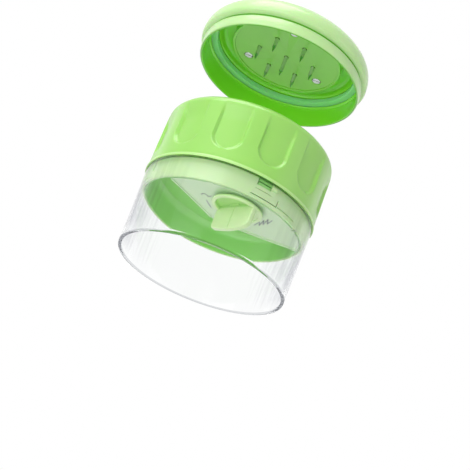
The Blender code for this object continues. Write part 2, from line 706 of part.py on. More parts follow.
def make_cam_hub(material):
    """The hub on the knob's stem. Its helical rib lifts and lowers the comb carrier."""
    low = PLATE_TOP + GAP
    high = hub_top()
    fall = COMB_LIFT_HEIGHT / KNOB_TURN
    outline = [(0.0, high), (HUB_RADIUS, high), (HUB_RADIUS, low), (0.0, low)]
    hub = turned("cam_hub", outline, material, HUB_STEPS)
    hub.location = KNOB_PLACE
    middle = rib_rest_height() + fall * RIB_MARGIN
    inner = HUB_RADIUS / 2
    outer = HUB_RADIUS + RIB_REACH
    half = RIB_THICKNESS / 2
    sweep = KNOB_TURN + 2 * RIB_MARGIN
    start = fork_direction() - RIB_MARGIN
    rib = swept("helical_rib",
                [(inner, middle + half), (outer, middle + half), (outer, middle - half),
                 (inner, middle - half)], start, start + sweep, fall * sweep, 28)
    rib.location = KNOB_PLACE
    half = STEM_SIDE / 2 + GAP
    socket_top = PLATE_TOP + STEM_RISE + GAP
    socket = block("stem_socket", (-half, -half, low - GAP), (half, half, socket_top), None,
                   Matrix.Translation(KNOB_PLACE) @ turn_frame(FIN_ANGLE))
    seat = rod("screw_seat", SCREW_HEAD_RADIUS + PIN_CLEARANCE,
               high - SCREW_HEAD_HEIGHT - PIN_CLEARANCE, high + KNOB_HEIGHT, None, POST_STEPS,
               (KNOB_X, KNOB_Y))
    hole = rod("hub_screw_hole", SCREW_RADIUS + PIN_CLEARANCE, low, high, None, PIN_STEPS,
               (KNOB_X, KNOB_Y))
    fuse(hub, rib)
    cut(hub, socket, seat, hole)
    return hub


def make_screw(name, head_top, tip, place_on, material, flip=False):
    """A pan-head screw along Z. Its head is up, or down if it is flipped."""
    length = abs(head_top - tip)
    outline = [(0.0, 0.0), (SCREW_HEAD_RADIUS, 0.0), (SCREW_HEAD_RADIUS, -SCREW_HEAD_HEIGHT),
               (SCREW_RADIUS, -SCREW_HEAD_HEIGHT), (SCREW_RADIUS, -length + SCREW_RADIUS),
               (0.0, -length)]
    screw = turned(name, outline, material, POST_STEPS)
    depth = SCREW_HEAD_HEIGHT / 2
    reach = SCREW_HEAD_RADIUS + GAP
    spot = Matrix.Translation((*place_on, head_top))
    slot = block(name + "_slot", (-reach, -SCREW_SLOT / 2, -depth),
                 (reach, SCREW_SLOT / 2, depth), None, spot)
    cut(screw, slot)
    turn = math.pi if flip else 0.0
    screw.matrix_world = spot @ Matrix.Rotation(turn, 4, "X")
    return screw


def make_comb_carrier(material):
    """The bar in the mouth, the shelf on the guide posts, and the arm with its fork."""
    top = FLOOR_Z - GAP
    shelf_low = top - SHELF_THICKNESS
    bar_front = BAR_OFFSET + BAR_WIDTH
    start = BLADE_START
    end = BLADE_END
    carrier = block("comb_carrier", (start, BAR_OFFSET, shelf_low),
                    (end, BAR_OFFSET + SHELF_WIDTH, top), material, EDGE_FRAME)
    bar = block("comb_bar", (start, BAR_OFFSET, shelf_low + GAP),
                (end, bar_front, FLOOR_TOP - COMB_DEPTH), None, EDGE_FRAME)
    hub = KNOB_IN_EDGE_FRAME
    rib_outer = HUB_RADIUS + RIB_REACH
    web_face = hub.y - rib_outer - SLIDE_CLEARANCE
    web_back = web_face - 2 * FORK_TINE_THICKNESS
    tine_end = hub.y - HUB_RADIUS - SLIDE_CLEARANCE
    slope = COMB_LIFT_HEIGHT / math.radians(KNOB_TURN)
    lean = slope * FORK_HALF_WIDTH / HUB_RADIUS
    slot_half = RIB_THICKNESS / 2 + lean + SLIDE_CLEARANCE
    rib_z = rib_rest_height()
    arm = block("fork_arm", (hub.x - ARM_WIDTH / 2, BAR_OFFSET + SHELF_WIDTH / 2, shelf_low + GAP),
                (hub.x + ARM_WIDTH / 2, web_face - FORK_TINE_THICKNESS / 2, top - GAP), None,
                EDGE_FRAME)
    fork_low = rib_z - slot_half - FORK_TINE_THICKNESS
    fork_high = rib_z + slot_half + FORK_TINE_THICKNESS
    half_web = ARM_WIDTH / 2 - GAP
    web = block("fork_web", (hub.x - half_web, web_back, fork_low - GAP),
                (hub.x + half_web, web_face, top), None, EDGE_FRAME)
    tines = block("fork_tines", (hub.x - FORK_HALF_WIDTH, web_back + GAP, fork_low),
                  (hub.x + FORK_HALF_WIDTH, tine_end, fork_high), None, EDGE_FRAME)
    groove = block("fork_groove", (hub.x - ARM_WIDTH, web_face, rib_z - slot_half),
                   (hub.x + ARM_WIDTH, hub.y, rib_z + slot_half), None, EDGE_FRAME)
    cut(tines, groove)
    fuse(carrier, bar, arm, web, tines)
    for index, along in enumerate(post_places()):
        spot = EDGE_FRAME @ Vector((along, POST_OFFSET, 0.0))
        hole = rod("post_hole_%d" % (index + 1), POST_RADIUS + PIN_CLEARANCE,
                   fork_low, FLOOR_TOP, None, POST_STEPS, (spot.x, spot.y))
        cut(carrier, hole)
    return carrier


def make_comb(material):
    """A thin strip on the bar, with upright teeth that slit the strip before the blade."""
    low = FLOOR_TOP - COMB_DEPTH + GAP
    high = RAMP_TOP - TIP_DEPTH
    middle_v = BAR_OFFSET + BAR_WIDTH / 2
    reach = (COMB_TEETH - 1) * COMB_PITCH
    middle_u = (BLADE_START + BLADE_END) / 2
    first = middle_u - reach / 2
    half_length = TOOTH_LENGTH / 2
    strip = block("comb_blade", (first - TOOTH_LENGTH / 2, middle_v - half_length, low),
                  (first + reach + TOOTH_LENGTH / 2, middle_v + half_length, low + COMB_STRIP_THICKNESS),
                  material, EDGE_FRAME)
    for index in range(COMB_TEETH):
        along = first + index * COMB_PITCH
        outline = [(middle_v - half_length, low + COMB_STRIP_THICKNESS / 2),
                   (middle_v + half_length, low + COMB_STRIP_THICKNESS / 2),
                   (middle_v + half_length, low + (high - low) * TOOTH_SHOULDER),
                   (middle_v, high),
                   (middle_v - half_length, high)]
        bm = bmesh.new()
        face = bm.faces.new([bm.verts.new((along - TOOTH_THICKNESS / 2, y, z))
                             for y, z in outline])
        pushed = bmesh.ops.extrude_face_region(bm, geom=[face])
        moved = [v for v in pushed["geom"] if isinstance(v, bmesh.types.BMVert)]
        bmesh.ops.translate(bm, vec=(TOOTH_THICKNESS, 0, 0), verts=moved)
        tooth = from_bmesh(bm, "comb_tooth_%d" % (index + 1))
        tooth.matrix_world = EDGE_FRAME
        fuse(strip, tooth)
    return strip


def cap_inner():
    return CAP_SKIRT_RADIUS - CAP_WALL


def ring_ceiling():
    return CAP_Z + RING_DEPTH + RING_HEIGHT + GAP


def cap_ceiling():
    """Height of the cap's inner ceiling, above the holder."""
    return CAP_Z + HOLDER_DEPTH + HOLDER_THICKNESS + HOLDER_RIM + 4 * CAP_WALL / 3


def make_cap(material):
    """The domed cap: a low skirt, a groove, a full dome, and bosses for the holder."""
    skirt = CAP_SKIRT_RADIUS
    dome = CAP_DOME_RADIUS
    top = CAP_Z + CAP_DOME_HEIGHT
    groove_z = CAP_Z + CAP_SKIRT_HEIGHT
    edge = CAP_GROOVE / 2
    wide_z = groove_z + 5 * CAP_GROOVE
    dome_points = []
    count = 8
    for index in range(count + 1):
        angle = math.radians(90.0 - 90.0 * index / count)
        radius = dome * math.cos(angle) ** CAP_DOME_SIDE
        height = wide_z + (top - wide_z) * math.sin(angle) ** CAP_DOME_CROWN
        dome_points.append((radius if index else 0.0, height))
    outline = dome_points
    outline += [(dome - edge, groove_z + 5 * edge), (skirt, groove_z + 3 * edge),
                (skirt - CAP_GROOVE, groove_z + CAP_GROOVE), (skirt - CAP_GROOVE, groove_z),
                (skirt, groove_z - edge), (skirt - edge, CAP_Z + edge),
                (skirt - 2 * edge, CAP_Z), (cap_inner() + edge, CAP_Z),
                (cap_inner(), CAP_Z + edge)]
    bead_z = CAP_Z + RING_DEPTH - GAP
    inner = cap_inner()
    ceiling = cap_ceiling()
    ring_bore = inner - GAP - RING_WIDTH
    outline += [(inner, bead_z - 3 * RING_BEAD / 2), (inner - RING_BEAD, bead_z - RING_BEAD / 2),
                (inner - RING_BEAD, bead_z), (inner, bead_z + GAP / 2), (inner, ring_ceiling()),
                (ring_bore - GAP, ring_ceiling()), (ring_bore - CAP_WALL, ceiling - CAP_WALL),
                (0.0, ceiling)]
    shell = turned("cap_shell", outline, material)
    back = holder_back()
    for index, spot in enumerate(holder_screw_places()):
        boss = rod("screw_boss_%d" % (index + 1), BOSS_RADIUS, back + GAP, ceiling + CAP_WALL / 3,
                   None, POST_STEPS, spot)
        hole = rod("boss_hole_%d" % (index + 1), SCREW_RADIUS + PIN_CLEARANCE, back,
                   ceiling - GAP, None, PIN_STEPS, spot)
        fuse(shell, boss)
        cut(shell, hole)
    return shell


def holder_face():
    return CAP_Z + HOLDER_DEPTH


def holder_back():
    return holder_face() + HOLDER_THICKNESS


def holder_screw_places():
    return [polar(SCREW_CIRCLE_RADIUS, HOLDER_SCREW_PHASE + index * 360.0 / HOLDER_SCREWS)
            for index in range(HOLDER_SCREWS)]


def prong_places():
    return [polar(PRONG_CIRCLE_RADIUS, index * 360.0 / PRONG_COUNT) for index in range(PRONG_COUNT)]


def make_slip_ring(material):
    outer = cap_inner() - GAP
    inner = outer - RING_WIDTH
    low = CAP_Z + RING_DEPTH
    high = low + RING_HEIGHT
    outline = [(outer, high), (outer, low), (inner + GAP, low), (inner, low + GAP), (inner, high)]
    return turned("slip_ring", outline, material)


def make_prong_holder(material, steel):
    face = holder_face()
    back = holder_back()
    rim = face - HOLDER_RIM
    inner = HOLDER_RADIUS - 2 * HOLDER_RIM
    outline = [(0.0, back), (HOLDER_RADIUS, back), (HOLDER_RADIUS, rim), (inner, rim),
               (inner, face), (0.0, face)]
    holder = turned("prong_holder", outline, material, KNOB_STEPS)
    seat_top = face + PRONG_SEAT
    places = [(0.0, 0.0)] + prong_places()
    for index, spot in enumerate(places):
        name = "centre_prong" if index == 0 else "prong_%d" % index
        length = CENTRE_PRONG_LENGTH if index == 0 else PRONG_LENGTH
        hole = rod(name + "_hole", PRONG_RADIUS + PIN_CLEARANCE, rim - HOLDER_RIM,
                   seat_top + PIN_CLEARANCE, None, PIN_STEPS, spot)
        cut(holder, hole)
        prong = pin_with_point(name, PRONG_RADIUS, face - length, seat_top,
                               3 * PRONG_RADIUS, steel)
        prong.location = (spot[0], spot[1], 0.0)
    for index, spot in enumerate(holder_screw_places()):
        hole = rod("holder_screw_hole_%d" % (index + 1), SCREW_RADIUS + PIN_CLEARANCE,
                   rim, back + HOLDER_RIM, None, PIN_STEPS, spot)
        seat = rod("holder_screw_seat_%d" % (index + 1), SCREW_HEAD_RADIUS + PIN_CLEARANCE,
                   rim, face + SCREW_HEAD_HEIGHT + PIN_CLEARANCE, None, POST_STEPS,
                   spot)
        cut(holder, hole, seat)
        make_screw("holder_screw_%d" % (index + 1), face, cap_ceiling() - 2 * GAP, spot,
                   steel, True)
    return holder


def build():
    clear = make_material("clear plastic", (0.93, 0.95, 0.95), 0.05, 0.0, 0.25)
    green = make_material("green moulded plastic", GREEN, 0.3)
    pale = make_material("pale green plastic", PALE_GREEN, 0.35)
    acetal = make_material("acetal", (0.86, 0.87, 0.84), 0.4)
    steel = make_material("stainless steel", STEEL, 0.25, 1.0)
    make_guard(clear)
    make_drum(green)
    make_feed_tube(green)
    make_collar(green)
    make_cutting_floor(green)
    make_blade(steel)
    make_centre_pin(steel)
    make_cover_plate(pale)
    make_knob(pale)
    make_cam_hub(acetal)
    make_screw("hub_screw", hub_top() - GAP, PLATE_TOP + STEM_RISE / 2, (KNOB_X, KNOB_Y), steel)
    make_comb_carrier(acetal)
    make_comb(steel)
    make_slip_ring(pale)
    make_cap(green)
    make_prong_holder(green, steel)


build()
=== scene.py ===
"""Looks of a hand spiralizer: grip drum with its cutting floor, clear guard ring, selector
knob and push-and-turn cap. Sizes are in millimetres and are turned to metres as each piece is
made. +Z is up the drum's axis, the origin lies on the guard's lower rim, -Y is the front."""
import math

import bmesh
import bpy
from mathutils import Matrix, Vector


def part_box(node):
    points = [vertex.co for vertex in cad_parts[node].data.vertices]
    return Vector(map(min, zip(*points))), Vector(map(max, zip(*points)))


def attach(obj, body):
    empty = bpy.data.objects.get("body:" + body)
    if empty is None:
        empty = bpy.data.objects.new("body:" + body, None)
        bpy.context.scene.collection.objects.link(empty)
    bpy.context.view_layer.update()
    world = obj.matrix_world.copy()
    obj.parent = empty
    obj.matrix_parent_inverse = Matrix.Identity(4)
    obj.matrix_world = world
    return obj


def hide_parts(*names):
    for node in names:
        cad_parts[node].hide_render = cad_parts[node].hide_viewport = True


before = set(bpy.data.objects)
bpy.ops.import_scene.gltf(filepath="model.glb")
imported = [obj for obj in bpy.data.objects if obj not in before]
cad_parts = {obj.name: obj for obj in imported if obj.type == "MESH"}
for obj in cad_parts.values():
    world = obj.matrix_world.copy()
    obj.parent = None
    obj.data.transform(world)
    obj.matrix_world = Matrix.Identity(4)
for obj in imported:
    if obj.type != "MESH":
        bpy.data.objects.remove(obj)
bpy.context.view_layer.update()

scene = bpy.context.scene
MM = 0.001


# Camera. The tool is seen from below and a little tilted, as it is held over a plate:
# the lens looks up at its open end, about half a metre away.
camera_data = bpy.data.cameras.new("camera")
camera = bpy.data.objects.new("camera", camera_data)
scene.collection.objects.link(camera)
camera_data.sensor_fit = "HORIZONTAL"
focal_pixels = 990.0
picture_width = 470.0
camera_data.sensor_width = 36.0
camera_data.lens = camera_data.sensor_width * focal_pixels / picture_width
camera_data.clip_start = 0.01
look_up = math.radians(22.54)
tilt = math.radians(21.21)
forward = Vector((0.0, math.cos(look_up), math.sin(look_up)))
level = Vector((1.0, 0.0, 0.0))
upright = Vector((0.0, -math.sin(look_up), math.cos(look_up)))
side = level * math.cos(tilt) + upright * math.sin(tilt)
top = upright * math.cos(tilt) - level * math.sin(tilt)
pose = Matrix((side, top, -forward)).transposed().to_4x4()
pose.translation = Vector((9.25, -474.26, -169.48)) * MM
camera.matrix_world = pose
scene.camera = camera
scene.view_settings.view_transform = "Standard"


# Floor and surroundings. A matt white floor lies far below the held tool, in a white room.
# Both show as plain white to the eye, in reflections and through the clear plastic.
def linear(hex_colour):
    """An sRGB hex colour as linear red, green, blue and alpha."""
    channels = [int(hex_colour[i:i + 2], 16) / 255.0 for i in (1, 3, 5)]
    return [c / 12.92 if c <= 0.04045 else ((c + 0.055) / 1.055) ** 2.4 for c in channels] + [1.0]


def add_node(tree, kind, settings=None, inputs=None):
    """Adds a node, sets its options, and fills its inputs with values or other sockets."""
    node = tree.nodes.new(kind)
    for option, value in (settings or {}).items():
        setattr(node, option, value)
    for socket, value in (inputs or {}).items():
        if isinstance(value, bpy.types.NodeSocket):
            tree.links.new(value, node.inputs[socket])
        else:
            node.inputs[socket].default_value = value
    return node


def maths(tree, operation, *values):
    """What a maths node makes of its values, which are numbers or other nodes' outputs."""
    node = add_node(tree, "ShaderNodeMath", {"operation": operation}, dict(enumerate(values)))
    return node.outputs[0]


def plain_rays(tree):
    """1 for what the eye sees directly, in a reflection or through clear plastic."""
    path = add_node(tree, "ShaderNodeLightPath").outputs
    seen = maths(tree, "MAXIMUM", path["Is Camera Ray"], path["Is Glossy Ray"])
    return maths(tree, "MAXIMUM", seen, path["Is Transmission Ray"])


white = linear("#FFFFFF")
room = bpy.data.worlds.new("white room")
scene.world = room
room.use_nodes = True
room.node_tree.nodes.clear()
seen_room = add_node(room.node_tree, "ShaderNodeBackground", None, {"Color": white, "Strength": 1.0})
lit_room = add_node(room.node_tree, "ShaderNodeBackground", None, {"Color": white, "Strength": 0.47})
room_mix = add_node(room.node_tree, "ShaderNodeMixShader", None,
                    {0: plain_rays(room.node_tree), 1: lit_room.outputs[0], 2: seen_room.outputs[0]})
add_node(room.node_tree, "ShaderNodeOutputWorld", None, {"Surface": room_mix.outputs[0]})

bm = bmesh.new()
bmesh.ops.create_grid(bm, x_segments=1, y_segments=1, size=4.0)
bmesh.ops.translate(bm, vec=(0.0, 0.0, -0.7), verts=bm.verts)
floor_mesh = bpy.data.meshes.new("studio_floor")
bm.to_mesh(floor_mesh)
bm.free()
studio_floor = bpy.data.objects.new("studio_floor", floor_mesh)
scene.collection.objects.link(studio_floor)
floor_paint = bpy.data.materials.new("white floor paint")
floor_paint.use_nodes = True
tree = floor_paint.node_tree
tree.nodes.clear()
matt = add_node(tree, "ShaderNodeBsdfDiffuse", None, {"Color": linear("#F4F4F4")})
shown = add_node(tree, "ShaderNodeEmission", None, {"Color": white, "Strength": 1.0})
floor_mix = add_node(tree, "ShaderNodeMixShader", None,
                     {0: plain_rays(tree), 1: matt.outputs[0], 2: shown.outputs[0]})
add_node(tree, "ShaderNodeOutputMaterial", None, {"Surface": floor_mix.outputs[0]})
floor_mesh.materials.append(floor_paint)


# Lamps. A wide soft box stands in front on the left, weaker ones on the right and low in front,
# and one hangs above. Two narrow boxes behind draw a pale line down each flank of the drum.
def soft_box(name, place, target, width, height, power):
    """A rectangular lamp that points at a target, in metres and watts."""
    lamp = bpy.data.lights.new(name, "AREA")
    lamp.shape = "RECTANGLE"
    lamp.size = width
    lamp.size_y = height
    lamp.energy = power
    box = bpy.data.objects.new(name, lamp)
    scene.collection.objects.link(box)
    aim = Vector(target) - Vector(place)
    box.matrix_world = Matrix.Translation(place) @ aim.to_track_quat("-Z", "Y").to_matrix().to_4x4()


soft_box("key_box", (-0.56, -0.7, -0.05), (0, 0, 0.06), 0.8, 0.9, 4.0)
soft_box("low_box", (0.05, -0.5, -0.45), (0, 0, 0.08), 0.6, 0.6, 1.0)
soft_box("right_box", (0.8, -0.4, 0.1), (0, 0, 0.07), 0.4, 0.9, 0.75)
soft_box("top_box", (-0.35, -0.35, 0.85), (0, 0, 0.13), 0.7, 0.7, 5.6)
soft_box("left_rim_box", (-0.55, 0.45, 0.05), (0, 0, 0.07), 0.2, 0.9, 0.3)
soft_box("right_rim_box", (0.6, 0.4, 0.0), (0, 0, 0.07), 0.2, 0.9, 0.4)


# Clear guard ring. Injection-moulded clear styrene copolymer, pushed on over the collar. It is
# slightly tapered, with a thin bead round the lower rim on which the tool stands.
def shaped(name, bm):
    """Makes an object of a finished bmesh."""
    mesh = bpy.data.meshes.new(name)
    bm.to_mesh(mesh)
    bm.free()
    piece = bpy.data.objects.new(name, mesh)
    scene.collection.objects.link(piece)
    return piece


WELD = 0.000002


def turned(name, outline, steps=180):
    """Spins an outline of (radius, height) round the axis. An outline that ends on the
    axis makes a full body, and any other is closed into a ring."""
    bm = bmesh.new()
    points = [bm.verts.new((radius * MM, 0.0, height * MM)) for radius, height in outline]
    lines = [bm.edges.new(pair) for pair in zip(points, points[1:])]
    if outline[0][0] or outline[-1][0]:
        lines.append(bm.edges.new((points[-1], points[0])))
    bmesh.ops.spin(bm, geom=points + lines, cent=(0, 0, 0), axis=(0, 0, 1), dvec=(0, 0, 0),
                   angle=math.tau, steps=steps, use_merge=True)
    bmesh.ops.remove_doubles(bm, verts=bm.verts, dist=WELD)
    bmesh.ops.recalc_face_normals(bm, faces=bm.faces)
    return shaped(name, bm)


def soften(piece, width, segments=3, sharper_than=30.0):
    """Rounds every edge that turns by more than an angle."""
    bm = bmesh.new()
    bm.from_mesh(piece.data)
    limit = math.radians(sharper_than)
    edges = [edge for edge in bm.edges if edge.is_manifold and edge.calc_face_angle() > limit]
    bmesh.ops.bevel(bm, geom=edges, offset=width * MM, offset_type="OFFSET", segments=segments,
                    profile=0.5, affect="EDGES", clamp_overlap=True, material=-1)
    bm.to_mesh(piece.data)
    bm.free()


def fit(piece, body, material, replaced=(), sharp=38.0):
    """Gives a piece its finish and shading, and ties it to the body that it moves with."""
    piece.data.materials.clear()
    piece.data.materials.append(material)
    piece.data.shade_smooth()
    piece.data.set_sharp_from_angle(angle=math.radians(sharp))
    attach(piece, body)
    if replaced:
        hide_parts(*replaced)


def finish_of(name, inputs=None):
    """A new material, with its node tree, object coordinates and main shader."""
    material = bpy.data.materials.new(name)
    material.use_nodes = True
    tree = material.node_tree
    tree.nodes.clear()
    place = add_node(tree, "ShaderNodeTexCoord").outputs["Object"]
    shader = add_node(tree, "ShaderNodeBsdfPrincipled", None, inputs)
    add_node(tree, "ShaderNodeOutputMaterial", None, {"Surface": shader.outputs[0]})
    return material, tree, place, shader


def node_of(tree, kind):
    """The one node of a kind in a tree."""
    return next(node for node in tree.nodes if node.type == kind)


def share_of(tree, value, start, end):
    """A share that runs from 0 where a value is at start to 1 where it is at end."""
    node = add_node(tree, "ShaderNodeMapRange", None,
                    {"Value": value, "From Min": start, "From Max": end})
    return node.outputs[0]


def by_height(tree, start, end):
    """A share that runs from 0 at one height to 1 at another, in millimetres."""
    place = add_node(tree, "ShaderNodeTexCoord").outputs["Object"]
    height = add_node(tree, "ShaderNodeSeparateXYZ", None, {0: place}).outputs["Z"]
    return share_of(tree, height, start * MM, end * MM)


def mixed(tree, share, first, second):
    """A colour between two, each an sRGB hex or another node's output."""
    ends = [linear(end) if isinstance(end, str) else end for end in (first, second)]
    node = add_node(tree, "ShaderNodeMix", {"data_type": "RGBA"},
                    {0: share, 6: ends[0], 7: ends[1]})
    return node.outputs[2]


# Styrene acrylonitrile, moulded in a polished tool: water-clear, with a hard gloss and faint upright
# streaks about 2 mm wide. A grey edge is painted into its tint where the eye looks along the wall,
# for the light that the longer path through the plastic takes out. The wall is thin, so it bends the
# view behind it very little, and light falls through it. The edge is painted with the green of the
# collar beside it, and of the drum's foot at the top, as painted reflections. The lower rim is painted
# as a plain grey line, and rays that run far inside the wall end on a painted glow that is even grey,
# and green at the top.
clear_san, tree, place, shader = finish_of("clear styrene copolymer, moulded", {
    "Roughness": 0.03, "IOR": 1.12, "Transmission Weight": 1.0,
    "Coat Weight": 0.2, "Coat Roughness": 0.03, "Coat IOR": 1.5})
stretch = add_node(tree, "ShaderNodeMapping", None, {"Vector": place, "Scale": (480.0, 480.0, 12.0)})
waves = add_node(tree, "ShaderNodeTexNoise", None,
                 {"Vector": stretch.outputs[0], "Scale": 1.0, "Detail": 3.0}).outputs[0]
along = add_node(tree, "ShaderNodeLayerWeight", None, {"Blend": 0.35}).outputs["Facing"]
streaky = maths(tree, "MULTIPLY_ADD", waves, 0.8, along)
over_bead = by_height(tree, 2.0, 8.0)
painted_collar_tint = by_height(tree, 30.0, 32.5)
painted_foot_tint = by_height(tree, 41.5, 41.9)
painted_rim_grey = by_height(tree, 0.9, 0.5)
# Painted shade: the wall's tint turns grey, in streaks, where the eye looks along the wall.
painted_edge_shade = maths(tree, "MULTIPLY", share_of(tree, streaky, 0.62, 1.35), over_bead)
# Painted reflections: the clear wall is tinted with the collar's green beside it and the drum foot's green
# at the top.
wall_colour_and_painted_edges = mixed(tree, painted_edge_shade, "#FCFDFD", mixed(tree, painted_collar_tint, "#B6B8C0", "#BCD9A6"))
wall_colour_and_painted_edges = mixed(tree, painted_foot_tint, wall_colour_and_painted_edges, "#9CCB7C")
# Painted shade: the lower rim of the clear wall is painted as a plain grey line.
wall_colour_and_painted_edges = mixed(tree, painted_rim_grey, wall_colour_and_painted_edges, "#C4C6CA")
tree.links.new(wall_colour_and_painted_edges, shader.inputs["Base Color"])
drawn = add_node(tree, "ShaderNodeBump", None, {"Height": waves, "Strength": 0.06, "Distance": 0.0004})
tree.links.new(drawn.outputs[0], shader.inputs["Normal"])
path = add_node(tree, "ShaderNodeLightPath").outputs
# Painted glow: a ray that has run more than five bounces ends on an even grey emission, green at the top.
painted_glow_share = maths(tree, "GREATER_THAN", path["Ray Depth"], 5.0)
painted_inner_glow = add_node(tree, "ShaderNodeEmission", None,
                   {"Color": mixed(tree, painted_foot_tint, "#A3A5AA", "#86AF6C")})
clear_wall = add_node(tree, "ShaderNodeMixShader", None,
                      {0: painted_glow_share, 1: shader.outputs[0], 2: painted_inner_glow.outputs[0]})
passing = maths(tree, "MAXIMUM", path["Is Shadow Ray"], path["Is Diffuse Ray"])
open_wall = add_node(tree, "ShaderNodeBsdfTransparent", None, {"Color": linear("#F4F6F6")})
either = add_node(tree, "ShaderNodeMixShader", None,
                  {0: passing, 1: clear_wall.outputs[0], 2: open_wall.outputs[0]})
tree.links.new(either.outputs[0], node_of(tree, "OUTPUT_MATERIAL").inputs["Surface"])

GUARD_HEIGHT = 42.35
GUARD_WALL = 1.5
GUARD_FOOT = 44.5
WIDENING = 1.7
WIDENING_HEIGHT = 41.7


def guard_radius(height):
    """Outer radius of the tapered guard at a height."""
    return GUARD_FOOT + WIDENING * height / WIDENING_HEIGHT


guard = turned("clear_guard_ring", [
    (guard_radius(GUARD_HEIGHT), GUARD_HEIGHT), (44.8, 1.6), (44.9, 1.2), (44.9, 0.8), (44.7, 0.0),
    (43.2, 0.0), (43.0, 0.4), (guard_radius(GUARD_HEIGHT) - GUARD_WALL, GUARD_HEIGHT)], 240)
soften(guard, 0.16, 3, 15.0)
fit(guard, "drum", clear_san, ["clear_guard"])


# Grip drum. The hand holds this green polypropylene shell. Its twelve thumb recesses end in
# a half circle at the foot and run out into the rounded shoulder. A thin lip ends the foot,
# painted a paler green there as a painted highlight on its rounded edge.
DRUM_RADIUS = 46.3
DRUM_TOP = 80.0
SHOULDER = 5.0
TUBE_RADIUS = 32.1
FADE_START = 65.0
FADE_LENGTH = 13.0
SOFT_EDGE = 1.3


# Polypropylene from a fine-sparked mould: soft gloss, light let a little way in so that thin
# walls glow, faint clouding 20 mm wide, and an orange-peel skin drawn at 0.9 mm, because the
# real 0.2 mm grain is too fine to show.
def moulded(name, pale_hex, deep_hex, roughness, glow, reach):
    """A moulded plastic that drifts a little between two colours. Light spreads by reach, in mm."""
    material, tree, place, shader = finish_of(name, {
        "IOR": 1.49, "Subsurface Weight": glow, "Subsurface Radius": (0.4, 1.0, 0.15),
        "Subsurface Scale": reach * MM, "Coat Weight": 0.35, "Coat Roughness": 0.2})
    cloud = add_node(tree, "ShaderNodeTexNoise", None, {"Vector": place, "Scale": 50.0, "Detail": 2.0})
    tone = mixed(tree, cloud.outputs[0], pale_hex, deep_hex)
    tree.links.new(tone, shader.inputs["Base Color"])
    skin = add_node(tree, "ShaderNodeTexNoise", None, {"Vector": place, "Scale": 1100.0, "Detail": 3.0})
    gloss = add_node(tree, "ShaderNodeMapRange", None,
                     {"Value": skin.outputs[0], "To Min": roughness - 0.03, "To Max": roughness + 0.03})
    tree.links.new(gloss.outputs[0], shader.inputs["Roughness"])
    peel = add_node(tree, "ShaderNodeBump", None,
                    {"Height": skin.outputs[0], "Strength": 0.012, "Distance": 0.0001})
    tree.links.new(peel.outputs[0], shader.inputs["Normal"])
    return material


def recolour(material, share, other_hex):
    """Gives a moulded plastic another colour where a share is 1."""
    tree = material.node_tree
    colour = node_of(tree, "BSDF_PRINCIPLED").inputs["Base Color"]
    plain = colour.links[0].from_socket
    tree.links.new(mixed(tree, share, plain, other_hex), colour)


green_shell = moulded("green polypropylene, moulded", "#9AD663", "#92CF5A", 0.33, 0.35, 1.2)
# Painted highlight: below 43.8 mm the foot's lip is painted a paler green, as if lit on its rounded edge.
recolour(green_shell, by_height(green_shell.node_tree, 43.8, 43.3), "#B4E089")


def rounded(centre, radius, start, end, count):
    """Points of an arc in an outline, angles in degrees."""
    turns = [math.radians(start + (end - start) * step / count) for step in range(count + 1)]
    return [(centre[0] + radius * math.cos(turn), centre[1] + radius * math.sin(turn))
            for turn in turns]


side_top = DRUM_TOP - SHOULDER
side_height = 31.2
rows = 54
outline = [(TUBE_RADIUS + 0.3, DRUM_TOP)]
outline += rounded((DRUM_RADIUS - SHOULDER, side_top), SHOULDER, 90, 0, 12)
outline += [(DRUM_RADIUS, side_top - side_height * row / rows) for row in range(1, rows + 1)]
outline += [(46.4, 43.9), (46.75, 43.5), (46.85, 43.0), (46.8, 42.5), (46.65, 42.2), (46.5, 42.2),
            (46.45, 42.4), (46.4, 42.45), (44.3, 42.45), (44.3, 47.4), (42.6, 48.6), (42.6, 74.4),
            (40.2, 77.0), (TUBE_RADIUS + 0.3, 77.4)]
drum = turned("gripped_drum", outline, 480)


def ease(share):
    """A smooth step from 0 to 1."""
    share = min(max(share, 0.0), 1.0)
    return share * share * (3.0 - 2.0 * share)


def press_recesses(piece, count, phase, half_width, foot, depth):
    """Presses the thumb recesses into the drum's side, with soft edges."""
    pitch = math.tau / count
    for vertex in piece.data.vertices:
        radius = math.hypot(vertex.co.x, vertex.co.y) / MM
        height = vertex.co.z / MM
        inner_face = height < DRUM_TOP - 2.5 and radius < 45.0
        if height < foot or radius < DRUM_RADIUS - SHOULDER or inner_face:
            continue
        turn = math.atan2(vertex.co.y, vertex.co.x) - math.radians(phase)
        across = (turn - round(turn / pitch) * pitch) * DRUM_RADIUS
        below = min(height - foot - half_width, 0.0)
        inside = half_width - math.hypot(across, below)
        fade = 1.0 - ease((height - FADE_START) / FADE_LENGTH)
        press = depth * ease(inside / SOFT_EDGE) * fade
        vertex.co.xy *= (radius - press) / radius


press_recesses(drum, count=12, phase=255.5, half_width=8.3, foot=48.9, depth=1.55)
fit(drum, "drum", green_shell, ["grip_drum"])


# Feed tube. A separate green moulding, dropped through the drum from above. Its thin lip lies
# on the drum's top, and its smooth bore leads down to the blade.
tube = turned("feed_tube_liner", [
    (35.9, 81.5), (36.1, 81.2), (36.1, 80.3), (TUBE_RADIUS, 80.3), (TUBE_RADIUS, 47.6),
    (30.5, 47.6), (30.5, 80.6), (30.6, 81.1), (31.0, 81.5)], 200)
soften(tube, 0.12, 2)
fit(tube, "drum", green_shell, ["feed_tube"])


